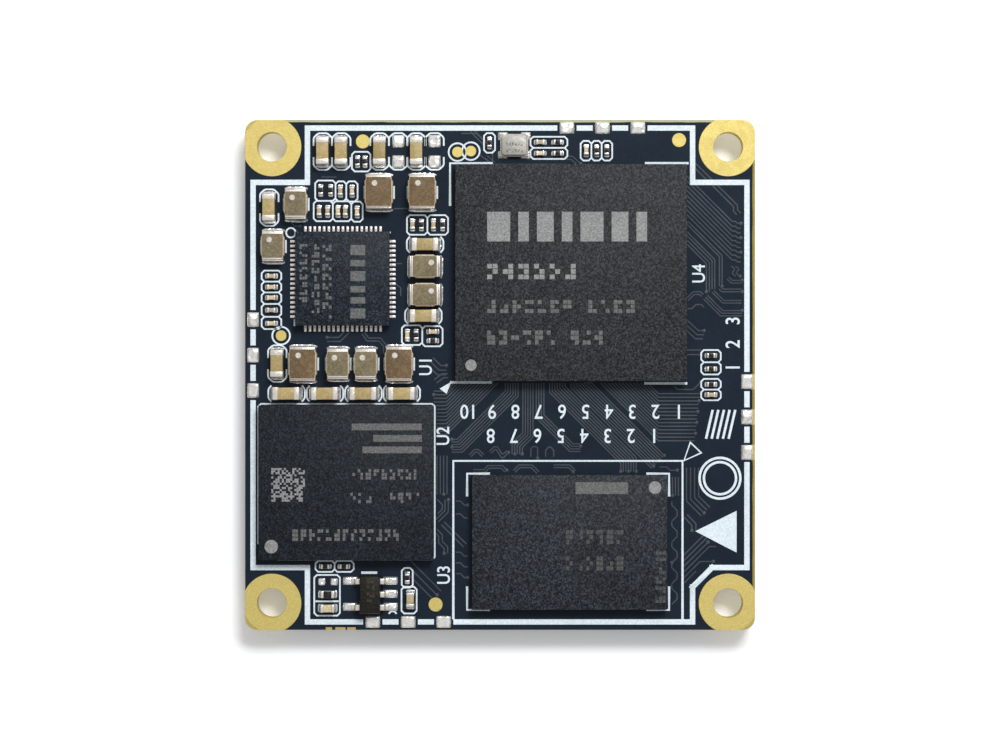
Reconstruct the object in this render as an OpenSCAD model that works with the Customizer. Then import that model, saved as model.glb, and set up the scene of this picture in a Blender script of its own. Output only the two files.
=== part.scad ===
/* [Board] */
// Width of the board, left to right
board_w = 38; // [38:0.5:46]
// Depth of the board, front to back
board_d = 38; // [38:0.5:46]
// Thickness of the laminate
board_t = 1.2; // [0.8:0.1:2]
// Radius of the board's corners
corner_r = 0.9; // [0.4:0.1:1.6]

/* [Screw holes] */
// Finished diameter of a screw hole
hole_d = 2.2; // [1.6:0.1:2.6]
// Distance from the board's edges to a hole's centre
hole_inset = 2; // [1.8:0.1:2.6]
// Diameter of the gold land round a hole
land_d = 4.4; // [3.4:0.1:4.8]
// Thickness of the copper and gold on a land and on a hole's wall
plating_t = 0.05; // [0.03:0.01:0.1]

/* [Gold spots] */
// Diameter of an alignment spot
fiducial_d = 1.05; // [0.8:0.05:1.2]
// Diameter of a probing spot
probe_d = 0.8; // [0.5:0.05:0.9]

/* [Printed border] */
// Width of the border line
border_line = 0.4; // [0.2:0.05:0.5]
// Distance from the board's edge to the middle of the border line
border_inset = 0.6; // [0.4:0.05:0.8]
// Size of the corner that the border leaves free for a screw head
border_notch = 4.65; // [4.6:0.05:5]
// Length that the border's slanted corner cuts off
border_slant = 1.45; // [0.5:0.05:2]
// Thickness of the print
print_t = 0.03; // [0.02:0.01:0.05]

/* [Edge pads] */
// Length of an edge pad, along the board's edge
edge_pad_l = 1.12; // [0.8:0.02:1.4]
// Width of an edge pad, across the board's edge
edge_pad_w = 0.9; // [0.6:0.05:1]
// Height of the solder on an edge pad
edge_pad_h = 0.14; // [0.08:0.02:0.3]
// Distance from one edge pad to the next
edge_pad_pitch = 2.64; // [2.2:0.02:3]
// Printed line left free on each side of an edge pad
edge_pad_free = 0.16; // [0.05:0.01:0.3]
// Distance from the board's right edge to the middle pad of the rear edge
rear_pads = 11.37; // [10.8:0.01:13]
// Distance from the board's rear edge to the middle pad of the left edge
left_pads = 17.52; // [17:0.02:18]
// Distance from the board's front edge to the middle pad of the right edge
right_pads = 15.87; // [12:0.01:19]
// Distance from the board's left edge to the middle pad of the front edge
front_pads = 12.16; // [12:0.01:12.6]

/* [Ball grid chips] */
// Height of a solder ball once melted
ball_h = 0.25; // [0.15:0.05:0.4]
// Diameter of a solder ball at its middle
ball_d = 0.36; // [0.28:0.02:0.4]
// Diameter of a solder ball where it meets the board and the chip
ball_foot_d = 0.28; // [0.2:0.02:0.3]
// Thickness of a chip's carrier
carrier_t = 0.3; // [0.2:0.05:0.5]

/* [Processor] */
// Width of the processor
cpu_w = 17.2; // [16.8:0.1:18]
// Depth of the processor
cpu_d = 16.1; // [15.6:0.1:16.8]
// Thickness of the processor's moulding
cpu_mould_t = 0.55; // [0.4:0.05:0.8]
// Distance from the board's right edge to the processor's middle
cpu_right = 13.73; // [13.4:0.01:14]
// Distance from the board's rear edge to the processor
cpu_rear = 3.36; // [3.2:0.02:3.6]
// Distance between the processor's balls
cpu_pitch = 0.65; // [0.5:0.05:0.65]

/* [Storage chip] */
// Width of the storage chip
storage_w = 13; // [12:0.1:13.2]
// Depth of the storage chip
storage_d = 11.5; // [11:0.1:12]
// Thickness of the storage chip's moulding
storage_mould_t = 0.45; // [0.3:0.05:0.8]
// Distance from the board's left edge to the storage chip's middle
storage_left = 7.57; // [7.4:0.01:8]
// Distance from the board's front edge to the storage chip's middle
storage_front = 11; // [10.8:0.05:11.2]
// Distance between the storage chip's balls
storage_pitch = 0.5; // [0.5:0.02:0.6]

/* [Memory chip] */
// Width of the memory chip
memory_w = 14.5; // [14:0.1:15]
// Depth of the memory chip
memory_d = 10; // [9.6:0.1:10.4]
// Thickness of the memory chip's moulding
memory_mould_t = 0.4; // [0.3:0.05:0.8]
// Distance from the board's right edge to the memory chip's middle
memory_right = 13.84; // [13:0.01:14.5]
// Distance from the board's front edge to the memory chip's middle
memory_front = 6.58; // [6.4:0.01:8]
// Distance between the memory chip's balls along its length
memory_pitch_x = 0.65; // [0.5:0.05:0.65]
// Distance between the memory chip's balls across its length
memory_pitch_y = 0.8; // [0.6:0.05:0.85]

/* [Power chip] */
// Side of the power chip
pmu_w = 7; // [6.6:0.1:7.4]
// Height of the power chip
pmu_h = 0.85; // [0.6:0.05:1.2]
// Distance from the board's left edge to the power chip's middle
pmu_left = 7.3; // [7.1:0.05:7.5]
// Distance from the board's rear edge to the power chip's middle
pmu_rear = 11.84; // [11.7:0.02:12]
// Distance between the power chip's terminals
pmu_pitch = 0.35; // [0.3:0.01:0.38]
// Width of a terminal of the power chip
pmu_lead_w = 0.18; // [0.12:0.02:0.24]
// Length of a terminal under the power chip
pmu_lead_l = 0.4; // [0.3:0.05:0.6]
// Thickness of the power chip's terminals and heat pad
pmu_lead_t = 0.2; // [0.1:0.02:0.3]
// Solder that shows outside the power chip
pmu_toe = 0.42; // [0.2:0.02:0.5]
// Side of the heat pad under the power chip
pmu_pad_w = 5.2; // [4:0.1:5.6]

/* [Crystal] */
// Width of the crystal
crystal_w = 2.1; // [1.8:0.05:2.4]
// Depth of the crystal
crystal_d = 1.7; // [1.4:0.05:1.8]
// Height of the crystal's ceramic base
crystal_base_h = 0.34; // [0.2:0.02:0.6]
// Thickness of the crystal's metal lid
crystal_lid_t = 0.16; // [0.08:0.02:0.3]
// Rim of the base that the lid leaves bare
crystal_rim = 0.12; // [0.05:0.01:0.2]
// Solder land that shows round the crystal
crystal_land = 0.1; // [0.05:0.01:0.15]
// Distance from the processor's edge to the crystal's middle
clock_gap = 1.45; // [1.4:0.05:1.6]
// Middle of the crystal, to the left of the processor's middle
crystal_left = 4.21; // [4.1:0.02:4.4]

/* [Regulator] */
// Width of the regulator's body
reg_w = 1.6; // [1.4:0.05:1.8]
// Length of the regulator's body
reg_d = 2.9; // [2.8:0.05:3.1]
// Height of the regulator
reg_h = 1.1; // [0.9:0.05:1.4]
// Distance between the regulator's leads
reg_pitch = 0.97; // [0.9:0.01:1]
// Reach of a lead from the regulator's body
reg_lead_l = 0.6; // [0.45:0.05:0.7]
// Width of a lead of the regulator
reg_lead_w = 0.42; // [0.3:0.02:0.5]
// Thickness of a lead of the regulator
reg_lead_t = 0.15; // [0.1:0.01:0.2]
// Solder land that shows beyond a foot of the regulator
reg_land = 0.6; // [0.1:0.05:0.7]
// Distance from the storage chip to the regulator's middle
reg_gap = 2.56; // [2.2:0.02:2.6]
// Middle of the regulator, to the right of the storage chip's middle
reg_right = 1.76; // [1.6:0.02:1.9]

/* [Coils] */
// Length of a large coil
large_coil_l = 2.5; // [2:0.05:2.6]
// Width of a large coil
large_coil_w = 2.1; // [1.8:0.05:2.2]
// Height of a large coil
large_coil_h = 1.2; // [0.8:0.1:1.6]
// Length of a small coil
small_coil_l = 2.25; // [1.8:0.05:2.3]
// Width of a small coil
small_coil_w = 1.75; // [1.4:0.05:1.85]
// Height of a small coil
small_coil_h = 1; // [0.8:0.1:1.4]
// Thickness of a coil's end plate
coil_plate_t = 0.1; // [0.06:0.01:0.15]
// Length of the foot that a coil's end plate turns under it
coil_foot_l = 0.5; // [0.3:0.05:0.7]
// Length of the neck at each end of a coil's moulding
coil_neck_l = 0.26; // [0.15:0.01:0.4]
// Depth of the neck on each side of a coil's moulding
coil_neck_in = 0.1; // [0.06:0.01:0.25]
// Bevel round the top of a coil's moulding
coil_bevel = 0.1; // [0.05:0.01:0.2]

/* [Capacitors] */
// Length of a large capacitor
bulk_l = 2; // [1.6:0.05:2.1]
// Width of a large capacitor
bulk_w = 0.95; // [0.7:0.05:1]
// Height of a large capacitor
bulk_h = 0.9; // [0.6:0.05:1.2]
// Length of a large capacitor's end cap
bulk_cap = 0.28; // [0.2:0.02:0.4]
// Length of a medium capacitor
medium_l = 1.05; // [0.9:0.05:1.1]
// Width of a medium capacitor
medium_w = 0.6; // [0.4:0.05:0.65]
// Height of a medium capacitor
medium_h = 0.55; // [0.4:0.05:0.7]
// Length of a medium capacitor's end cap
medium_cap = 0.24; // [0.15:0.01:0.3]
// Length of a small capacitor
small_l = 0.62; // [0.55:0.01:0.66]
// Width of a small capacitor
small_w = 0.36; // [0.25:0.01:0.38]
// Height of a small capacitor
small_h = 0.32; // [0.2:0.01:0.4]
// Length of a small capacitor's end cap
small_cap = 0.16; // [0.1:0.01:0.2]

/* [Resistors] */
// Length of the medium resistor
medium_res_l = 1; // [0.9:0.05:1.1]
// Width of the medium resistor
medium_res_w = 0.52; // [0.4:0.02:0.6]
// Height of the medium resistor
medium_res_h = 0.35; // [0.25:0.05:0.5]
// Length of the medium resistor's end cap
medium_res_cap = 0.22; // [0.15:0.01:0.3]
// Length of a small resistor
small_res_l = 0.6; // [0.55:0.01:0.66]
// Width of a small resistor
small_res_w = 0.34; // [0.25:0.01:0.36]
// Height of a small resistor
small_res_h = 0.24; // [0.18:0.01:0.35]
// Length of a small resistor's end cap
small_res_cap = 0.16; // [0.1:0.01:0.2]

/* [Solder] */
// Thickness of the solder under a chip
solder_t = 0.04; // [0.02:0.01:0.08]
// Thickness of the metal on a chip's ends
skin = 0.03; // [0.02:0.01:0.05]
// Share of a chip's height that solder climbs
wet_share = 0.6; // [0.3:0.05:0.9]
// Share of a joint's reach and rise at which its slope turns
knee_share = 0.33; // [0.25:0.01:0.4]
// Thickness of the solder at the outer end of a joint
toe_t = 0.05; // [0.02:0.01:0.1]
// Reach of the solder beyond a large chip or a coil
large_toe = 0.16; // [0.1:0.01:0.2]
// Reach of the solder beyond a medium chip
medium_toe = 0.24; // [0.15:0.01:0.3]
// Reach of the solder beyond a small chip
small_toe = 0.16; // [0.1:0.01:0.2]
// Height of the solder on a land that carries no chip
bare_land_h = 0.16; // [0.08:0.02:0.3]
// Length of a bare land of the large size
bare_land_l = 0.95; // [0.7:0.05:1]
// Length of a bare land of the medium size
bare_land_s = 0.55; // [0.4:0.05:0.6]

/* [Connectors underneath] */
// Height of a connector, which the part rests on
conn_h = 1.1; // [0.8:0.1:3]
// Width of a connector's housing
conn_w = 2.6; // [2.4:0.1:3]
// Contacts in each row of a connector
conn_pins = 40; // [10:1:45]
// Distance between a connector's contacts
conn_pitch = 0.4; // [0.35:0.01:0.45]
// Distance from the board's edge to the middle of a connector
conn_inset = 3; // [2.6:0.1:3.6]
// Thickness of a connector's long walls
conn_wall = 0.5; // [0.3:0.05:0.6]
// Thickness of a connector's floor
conn_floor = 0.3; // [0.2:0.05:0.5]
// Length of the solid block at each end of a connector
conn_end = 1; // [0.6:0.1:1.6]
// Width of a contact
contact_w = 0.16; // [0.1:0.02:0.2]
// Thickness of a contact
contact_t = 0.08; // [0.05:0.01:0.12]
// Reach of a contact's tail from the housing
contact_tail = 0.5; // [0.3:0.05:0.7]
// Depth of the contacts below the connector's mating face
contact_clear = 0.04; // [0.02:0.01:0.1]

/* [Hidden] */
$fn = 48;
eps = 0.01;
coil_ids = [1:10];
conn_names = ["rear", "right", "front", "left"];

// Levels: the connectors' mating faces lie at zero
top_z = conn_h + board_t;
carrier_z = top_z + ball_h;
mould_z = carrier_z + carrier_t;

// The board's edges, and the middles of the chips that keep to them
right = board_w / 2;
rear = board_d / 2;
cpu_at = [right - cpu_right, rear - cpu_rear - cpu_d / 2];
storage_at = [storage_left - right, storage_front - rear];
memory_at = [right - memory_right, memory_front - rear];
pmu_at = [pmu_left - right, rear - pmu_rear];

// Places beside these chips that the smaller parts are grouped round
clock_at = [cpu_at.x, cpu_at.y + cpu_d / 2 + clock_gap];
cpu_left_at = [cpu_at.x - cpu_w / 2, pmu_at.y + pmu_w / 2];
cpu_side_at = [cpu_at.x + cpu_w / 2, cpu_at.y - cpu_d / 2];
reg_at = [storage_at.x + reg_right, storage_at.y - storage_d / 2 - reg_gap];

// Each placement is [x, y, turn]: a turn of 90 sets the part's length front to back
function placed(at, spots) = [for (s = spots) [at.x + s[0], at.y + s[1], s[2]]];
function row(x, y, turn, pitch, count) = [for (k = [0:count - 1]) [x + k * pitch, y, turn]];

// Coils round the power chip: [x, y, turn, large]
coil_spots = [
    [-3.48, 5.55, 90, false],
    [-5.18, 2.42, 90, false],
    [2.7, 6.44, 90, true],
    [5.92, 6.44, 90, true],
    [-2.95, -6.34, 90, true],
    [-0.35, -6.34, 90, false],
    [1.73, -6.34, 90, false],
    [4.2, -6.34, 90, true],
    [6.12, 0.91, 0, false],
    [6.12, -1.2, 0, false]
];

// Large capacitors round the power chip
bulk_spots = placed(pmu_at, concat(
    row(-1.5, 9.49, 90, 1.37, 2),
    row(2.73, 9.49, 90, 2.74, 2),
    row(-4.2, -8.54, 0, 2.86, 4),
    [[-5.49, 5.31, 90], [-4.89, -6.31, 90], [6.12, 2.55, 0], [5.99, -2.76, 0]]
));
// Large lands left bare between them
bare_large_spots = placed(pmu_at, concat(
    row(4.12, 10.26, 0, 2.7, 2),
    row(4.12, 8.74, 0, 2.7, 2)
));

// Medium parts beside the regulator
medium_cap_spots = placed(reg_at, [[-3.17, -1.06, 0], [2.99, -0.41, 90]]);
medium_res_spots = placed(reg_at, [[-3.17, -0.03, 0]]);
bare_medium_spots = placed(reg_at, row(-3.61, 0.9, 0, 0.92, 2));

// Small capacitors: power chip, processor and clock
small_cap_spots = concat(
    placed(pmu_at, concat(
        row(-0.19, 6.54, 90, 0.87, 2),
        [[-1.77, 5.03, 90], [-1.14, 5.03, 90], [-0.37, 5.03, 90], [0.18, 5.03, 90], [1.06, 4.99, 90]],
        [[-5.33, 0.21, 0], [-5.33, -0.61, 0], [-5.33, -1.4, 0], [-5.33, -2.33, 0], [-5.33, -3.32, 0]],
        [[4.8, -4.19, 90], [6.69, -3.93, 0]]
    )),
    placed(cpu_left_at, row(-3.19, 0.52, 90, 1.56, 2)),
    placed(clock_at, [[1.15, -0.38, 90], [-2.27, 0.25, 0], [-2.27, -0.58, 0]]),
    placed(cpu_side_at, [[1.85, -1.01, 0]])
);
// Small resistors: power chip, processor, clock and regulator
small_res_spots = concat(
    placed(pmu_at, concat(
        row(1.08, 8.74, 90, 0.56, 2),
        row(-1.66, 6.6, 90, 0.74, 2),
        [[5.45, -4.19, 90], [6.69, -4.61, 0]]
    )),
    placed(cpu_left_at, row(-2.53, 0.52, 90, 1.58, 2)),
    placed(clock_at, [[-6.05, 0.2, 90], [-0.98, 0.25, 0], [-0.98, -0.58, 0]]),
    placed(clock_at, row(1.93, -0.38, 90, 0.75, 2)),
    placed(cpu_side_at, [[1.85, 1.91, 0], [1.85, 0.91, 0], [1.85, -0.24, 0]]),
    placed(reg_at, concat(row(-3.35, 2.05, 0, 1.39, 2), [[2.76, 1.2, 90]]))
);

// Alignment spots keep to the board's edges, probing spots to the chips
fiducial_spots = [
    [8.78 - right, rear - 1.6, 0],
    [right - 5.66, rear - 1.5, 0],
    [14.2 - right, 1.9 - rear, 0]
];
probe_spots = concat(
    placed(clock_at, [[-8.44, -0.48, 0], [-7.44, -0.41, 0]]),
    placed(pmu_at, [[-4.61, -4.23, 0]])
);

// Edge pads: the middle of the three on each edge, then the edge's own turn
edge_rows = [
    [[right - rear_pads, rear - border_inset], 0],
    [[border_inset - right, rear - left_pads], 90],
    [[right - border_inset, right_pads - rear], 90],
    [[front_pads - right, border_inset - rear], 0]
];
edge_spots = [
    for (r = edge_rows, k = [-1:1])
        [r[0].x + k * edge_pad_pitch * cos(r[1]), r[0].y + k * edge_pad_pitch * sin(r[1]), r[1]]
];

// Chip sizes as [length, width, height]
bulk_size = [bulk_l, bulk_w, bulk_h];
medium_size = [medium_l, medium_w, medium_h];
small_size = [small_l, small_w, small_h];
medium_res_size = [medium_res_l, medium_res_w, medium_res_h];
small_res_size = [small_res_l, small_res_w, small_res_h];
large_coil = [large_coil_l, large_coil_w, large_coil_h];
small_coil = [small_coil_l, small_coil_w, small_coil_h];
function coil_size(i) = coil_spots[i - 1][3] ? large_coil : small_coil;

// Connectors: housing length, height of its long walls and the place of each
conn_l = (conn_pins - 1) * conn_pitch + 2 * conn_end + conn_pitch;
conn_wall_h = conn_h - contact_t - contact_clear;
conn_places = [
    [0, rear - conn_inset, 0],
    [right - conn_inset, 0, 90],
    [0, conn_inset - rear, 0],
    [conn_inset - right, 0, 90]
];

// Shared shapes

module rounded_plate(w, d, r) {
    square([w - 2 * r, d], center = true);
    square([w, d - 2 * r], center = true);
    for (x = [-1, 1], y = [-1, 1])
        translate([x * (w / 2 - r), y * (d / 2 - r)])
            circle(r);
}

module block(size, z) {
    translate([0, 0, z + size.z / 2])
        cube(size, center = true);
}

// A profile in X and Z drawn out along Y, to both sides of the middle
module across(width) {
    rotate([90, 0, 0])
        linear_extrude(width, center = true)
            children();
}

module on_board(spots) {
    for (s = spots)
        translate([s.x, s.y, top_z])
            rotate(s[2])
                children();
}

module at_holes() {
    for (x = [-1, 1], y = [-1, 1])
        translate([x * (right - hole_inset), y * (rear - hole_inset), 0])
            children();
}

// A low mound of solder with sloping sides
module solder_mound(l, w, h) {
    slope = h;
    intersection() {
        across(w)
            polygon([[-l / 2, 0], [l / 2, 0], [l / 2 - slope, h], [slope - l / 2, h]]);
        rotate(90)
            across(l)
                polygon([[-w / 2, 0], [w / 2, 0], [w / 2 - slope, h], [slope - w / 2, h]]);
    }
}

// The solder of both ends of a chip: a film underneath and a ramp up each end face
module solder_ends(size, foot, toe) {
    rise = solder_t + wet_share * size.z;
    knee = knee_share * toe;
    for (turn = [0, 180])
        rotate(turn)
            translate([size.x / 2, 0, 0])
                across(size.y)
                    polygon([
                        [-foot, 0], [toe, 0], [toe, toe_t], [knee, toe_t + knee_share * rise],
                        [0, rise], [0, solder_t], [-foot, solder_t]
                    ]);
}

// A chip capacitor's ceramic brick
module ceramic(size) {
    block([size.x - 2 * skin, size.y - 2 * skin, size.z - 2 * skin], solder_t + skin);
}

// The two metal cups that close a capacitor's ends
module end_cups(size, cap) {
    for (side = [-1, 1])
        difference() {
            translate([side * (size.x - cap) / 2, 0, 0])
                block([cap, size.y, size.z], solder_t);
            ceramic(size);
        }
}

// A chip resistor's ceramic plate
module resistor_plate(size) {
    block([size.x - 2 * skin, size.y, size.z - 2 * skin], solder_t + skin);
}

// The dark coat over a resistor's film
module resistor_coat(size, cap) {
    block([size.x - 2 * cap, size.y, skin], solder_t + size.z - skin);
}

// The two metal channels that wrap a resistor's ends
module end_channels(size, cap) {
    for (side = [-1, 1])
        difference() {
            translate([side * (size.x - cap) / 2, 0, 0])
                block([cap, size.y, size.z], solder_t);
            resistor_plate(size);
        }
}

module ball_at(x, y) {
    translate([x, y, top_z])
        rotate_extrude($fn = 24)
            polygon([
                [0, 0], [ball_foot_d / 2, 0], [ball_d / 2, ball_h / 2],
                [ball_foot_d / 2, ball_h], [0, ball_h]
            ]);
}

// Board

module circuit_board() {
    color("#232c35")
        difference() {
            translate([0, 0, conn_h])
                linear_extrude(board_t)
                    rounded_plate(board_w, board_d, corner_r);
            at_holes()
                translate([0, 0, conn_h - eps])
                    cylinder(d = hole_d + 2 * plating_t, h = board_t + 2 * eps);
        }
}

// A plated hole: its wall and the land on each face, which the board's edge trims
module screw_hole_plating() {
    color("#e0cc73")
        difference() {
            union() {
                at_holes()
                    translate([0, 0, conn_h])
                        cylinder(d = hole_d + 2 * plating_t, h = board_t);
                for (z = [conn_h - plating_t, top_z])
                    intersection() {
                        translate([0, 0, z])
                            linear_extrude(plating_t)
                                rounded_plate(board_w, board_d, corner_r);
                        at_holes()
                            translate([0, 0, z])
                                cylinder(d = land_d, h = plating_t);
                    }
            }
            at_holes()
                translate([0, 0, conn_h - plating_t - eps])
                    cylinder(d = hole_d, h = board_t + 2 * plating_t + 2 * eps);
        }
}

module gold_spots() {
    color("#e0cc73") {
        on_board(fiducial_spots)
            cylinder(d = fiducial_d, h = plating_t);
        on_board(probe_spots)
            cylinder(d = probe_d, h = plating_t);
    }
}

// A straight stretch of the border, with square ends that close its corners
module border_stretch(from, to) {
    run = to - from;
    translate(from)
        rotate(atan2(run.y, run.x))
            translate([-border_line / 2, -border_line / 2])
                square([norm(run) + border_line, border_line]);
}

module printed_border() {
    x = right - border_inset;
    y = rear - border_inset;
    nx = right - border_notch;
    ny = rear - border_notch;
    corners = [
        [-nx, y], [nx, y], [nx, ny], [x, ny], [x, -ny], [nx + border_slant, -ny], [nx, -ny - border_slant],
        [nx, -y], [-nx, -y], [-nx, -ny], [-x, -ny], [-x, ny], [-nx, ny]
    ];
    free = [edge_pad_l + 2 * edge_pad_free, edge_pad_w + 2 * edge_pad_free];
    color("#d6e4ec")
        translate([0, 0, top_z])
            linear_extrude(print_t)
                difference() {
                    for (i = [0:len(corners) - 1])
                        border_stretch(corners[i], corners[(i + 1) % len(corners)]);
                    for (s = edge_spots)
                        translate([s.x, s.y])
                            rotate(s[2])
                                square(free, center = true);
                }
}

module edge_pads() {
    color("#d9dde0")
        on_board(edge_spots)
            solder_mound(edge_pad_l, edge_pad_w, edge_pad_h);
}

module bare_lands() {
    color("#d9dde0") {
        on_board(bare_large_spots)
            solder_mound(bare_land_l, bare_land_l, bare_land_h);
        on_board(bare_medium_spots)
            solder_mound(bare_land_s, bare_land_s, bare_land_h);
    }
}

// Ball grid chips

module chip_slab(at, w, d, t, z) {
    translate([at.x, at.y, 0])
        block([w, d, t], z);
}

module processor_moulding() {
    color("#3e3f40")
        chip_slab(cpu_at, cpu_w, cpu_d, cpu_mould_t, mould_z);
}

module processor_carrier() {
    color("#2f4a3c")
        chip_slab(cpu_at, cpu_w, cpu_d, carrier_t, carrier_z);
}

// A full grid of balls, as many as the carrier holds
module processor_balls() {
    nx = floor((cpu_w - 2 * cpu_pitch) / cpu_pitch / 2);
    ny = floor((cpu_d - 2 * cpu_pitch) / cpu_pitch / 2);
    color("silver")
        for (i = [-nx:nx], j = [-ny:ny])
            ball_at(cpu_at.x + i * cpu_pitch, cpu_at.y + j * cpu_pitch);
}

module storage_moulding() {
    color("#262a30")
        chip_slab(storage_at, storage_w, storage_d, storage_mould_t, mould_z);
}

module storage_carrier() {
    color("#2f4a3c")
        chip_slab(storage_at, storage_w, storage_d, carrier_t, carrier_z);
}

// Three rings of balls round a bare band, and one ring at the middle
module storage_balls() {
    half = 6.5;
    band = 4;
    core = 2.5;
    color("silver")
        for (i = [-half:half], j = [-half:half])
            let (ring = max(abs(i), abs(j)))
                if (ring > band || ring == core)
                    ball_at(storage_at.x + i * storage_pitch, storage_at.y + j * storage_pitch);
}

module memory_moulding() {
    color("#2a2d32")
        chip_slab(memory_at, memory_w, memory_d, memory_mould_t, mould_z);
}

module memory_carrier() {
    color("#2f4a3c")
        chip_slab(memory_at, memory_w, memory_d, carrier_t, carrier_z);
}

// Four blocks of balls round a bare cross
module memory_balls() {
    half_x = 10.5;
    half_y = 5.5;
    cross = 1;
    color("silver")
        for (i = [-half_x:half_x], j = [-half_y:half_y])
            if (abs(i) > cross && abs(j) > cross)
                ball_at(memory_at.x + i * memory_pitch_x, memory_at.y + j * memory_pitch_y);
}

// Power chip

pmu_side_pins = 17;

module at_pmu() {
    translate([pmu_at.x, pmu_at.y, top_z])
        children();
}

// Along each side, the middle of the side's edge and each terminal's place on it
module at_pmu_pins() {
    reach = (pmu_side_pins - 1) / 2;
    for (turn = [0:90:270], k = [-reach:reach])
        rotate(turn)
            translate([pmu_w / 2, k * pmu_pitch, 0])
                children();
}

module power_chip_lead_blocks() {
    at_pmu_pins()
        translate([-pmu_lead_l / 2, 0, 0])
            block([pmu_lead_l, pmu_lead_w, pmu_lead_t], solder_t);
}

module power_chip_pad_block() {
    block([pmu_pad_w, pmu_pad_w, pmu_lead_t], solder_t);
}

module power_chip_body() {
    color("#232a34")
        at_pmu()
            difference() {
                block([pmu_w, pmu_w, pmu_h], solder_t);
                power_chip_lead_blocks();
                power_chip_pad_block();
            }
}

module power_chip_terminals() {
    color("#dcdcd6")
        at_pmu()
            power_chip_lead_blocks();
}

module power_chip_heat_pad() {
    color("#dcdcd6")
        at_pmu()
            power_chip_pad_block();
}

module power_chip_solder() {
    color("#dfe2e4")
        at_pmu() {
            at_pmu_pins()
                across(pmu_lead_w)
                    polygon([
                        [-pmu_lead_l, 0], [pmu_toe, 0], [pmu_toe, toe_t], [0, solder_t + pmu_lead_t],
                        [0, solder_t], [-pmu_lead_l, solder_t]
                    ]);
            block([pmu_pad_w, pmu_pad_w, solder_t], 0);
        }
}

// Crystal and regulator

crystal_spot = [clock_at.x - crystal_left, clock_at.y, 0];
crystal_lid_r = 0.2;

module crystal_base() {
    color("#b9b2a4")
        on_board([crystal_spot])
            block([crystal_w, crystal_d, crystal_base_h], solder_t);
}

module crystal_lid() {
    color("#c9c6bd")
        on_board([crystal_spot])
            translate([0, 0, solder_t + crystal_base_h])
                linear_extrude(crystal_lid_t)
                    rounded_plate(crystal_w - 2 * crystal_rim, crystal_d - 2 * crystal_rim, crystal_lid_r);
}

// Four corner lands, which show a little round the base
module crystal_solder() {
    land = [crystal_w / 3, crystal_d / 3, solder_t];
    for (x = [-1, 1], y = [-1, 1])
        translate([
            x * (crystal_w / 2 + crystal_land - land.x / 2),
            y * (crystal_d / 2 + crystal_land - land.y / 2), 0
        ])
            block(land, 0);
}

reg_lead_in = 0.2;
reg_lead_z = 0.5;
reg_stand = 0.08;
reg_draft = 0.1;

// A lead's gull wing, from inside the body out to its foot
module regulator_lead() {
    t = reg_lead_t;
    bend = reg_lead_l / 3;
    foot = reg_lead_l / 2;
    z = reg_lead_z;
    across(reg_lead_w)
        polygon([
            [-reg_lead_in, z], [bend - t / 2, z], [foot - t / 2, 0], [reg_lead_l, 0],
            [reg_lead_l, t], [foot + t / 2, t], [bend + t / 2, z + t], [-reg_lead_in, z + t]
        ]);
}

// Two leads on the left and three on the right
module regulator_lead_set() {
    for (k = [-1:1])
        translate([reg_w / 2, k * reg_pitch, solder_t])
            regulator_lead();
    for (k = [-1, 1])
        translate([-reg_w / 2, k * reg_pitch, solder_t])
            rotate(180)
                regulator_lead();
}

// The moulded body slopes in above and below the line where its mould halves met
module regulator_body() {
    low = reg_stand;
    mid = solder_t + reg_lead_z + reg_lead_t / 2;
    high = reg_h;
    d = reg_draft;
    color("#2b2624")
        on_board([[reg_at.x, reg_at.y, 0]])
            difference() {
                intersection() {
                    across(reg_d)
                        polygon([
                            [d - reg_w / 2, low], [reg_w / 2 - d, low], [reg_w / 2, mid],
                            [reg_w / 2 - d, high], [d - reg_w / 2, high], [-reg_w / 2, mid]
                        ]);
                    rotate(90)
                        across(reg_w)
                            polygon([
                                [d - reg_d / 2, low], [reg_d / 2 - d, low], [reg_d / 2, mid],
                                [reg_d / 2 - d, high], [d - reg_d / 2, high], [-reg_d / 2, mid]
                            ]);
                }
                regulator_lead_set();
            }
}

module regulator_leads() {
    color("#d2d6d8")
        on_board([[reg_at.x, reg_at.y, 0]])
            regulator_lead_set();
}

// Coils

module at_coil(i) {
    s = coil_spots[i - 1];
    translate([pmu_at.x + s.x, pmu_at.y + s.y, top_z])
        rotate(s[2])
            children();
}

// The moulding narrows to a neck at each end, between its full width and the end plate
module coil_moulding(i) {
    size = coil_size(i);
    a = size.x / 2 - coil_plate_t;
    s = a - coil_neck_l;
    b = size.y / 2;
    n = b - coil_neck_in;
    e = s - coil_neck_in;
    low = solder_t + coil_plate_t;
    high = solder_t + size.z;
    bevel = coil_bevel;
    color(coil_spots[i - 1][3] ? "#8c785f" : "#84785c")
        at_coil(i)
            intersection() {
                translate([0, 0, low])
                    linear_extrude(high - low)
                        polygon([
                            [-a, -n], [-s, -n], [-e, -b], [e, -b], [s, -n], [a, -n],
                            [a, n], [s, n], [e, b], [-e, b], [-s, n], [-a, n]
                        ]);
                rotate(90)
                    across(size.x)
                        polygon([
                            [-b, low], [b, low], [b, high - bevel], [b - bevel, high],
                            [bevel - b, high], [-b, high - bevel]
                        ]);
            }
}

// An end plate stands against the neck and turns under the moulding
module coil_end_plates(i) {
    size = coil_size(i);
    rise = size.z - coil_bevel;
    t = coil_plate_t;
    color("#d2d6d8")
        at_coil(i)
            for (turn = [0, 180])
                rotate(turn)
                    translate([size.x / 2, 0, solder_t])
                        across(size.y - 2 * coil_bevel)
                            polygon([
                                [-coil_foot_l, 0], [0, 0], [0, rise],
                                [-t, rise], [-t, t], [-coil_foot_l, t]
                            ]);
}

// Capacitors and resistors

module capacitor_ceramics() {
    color("#beac76")
        on_board(bulk_spots)
            ceramic(bulk_size);
}

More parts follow.
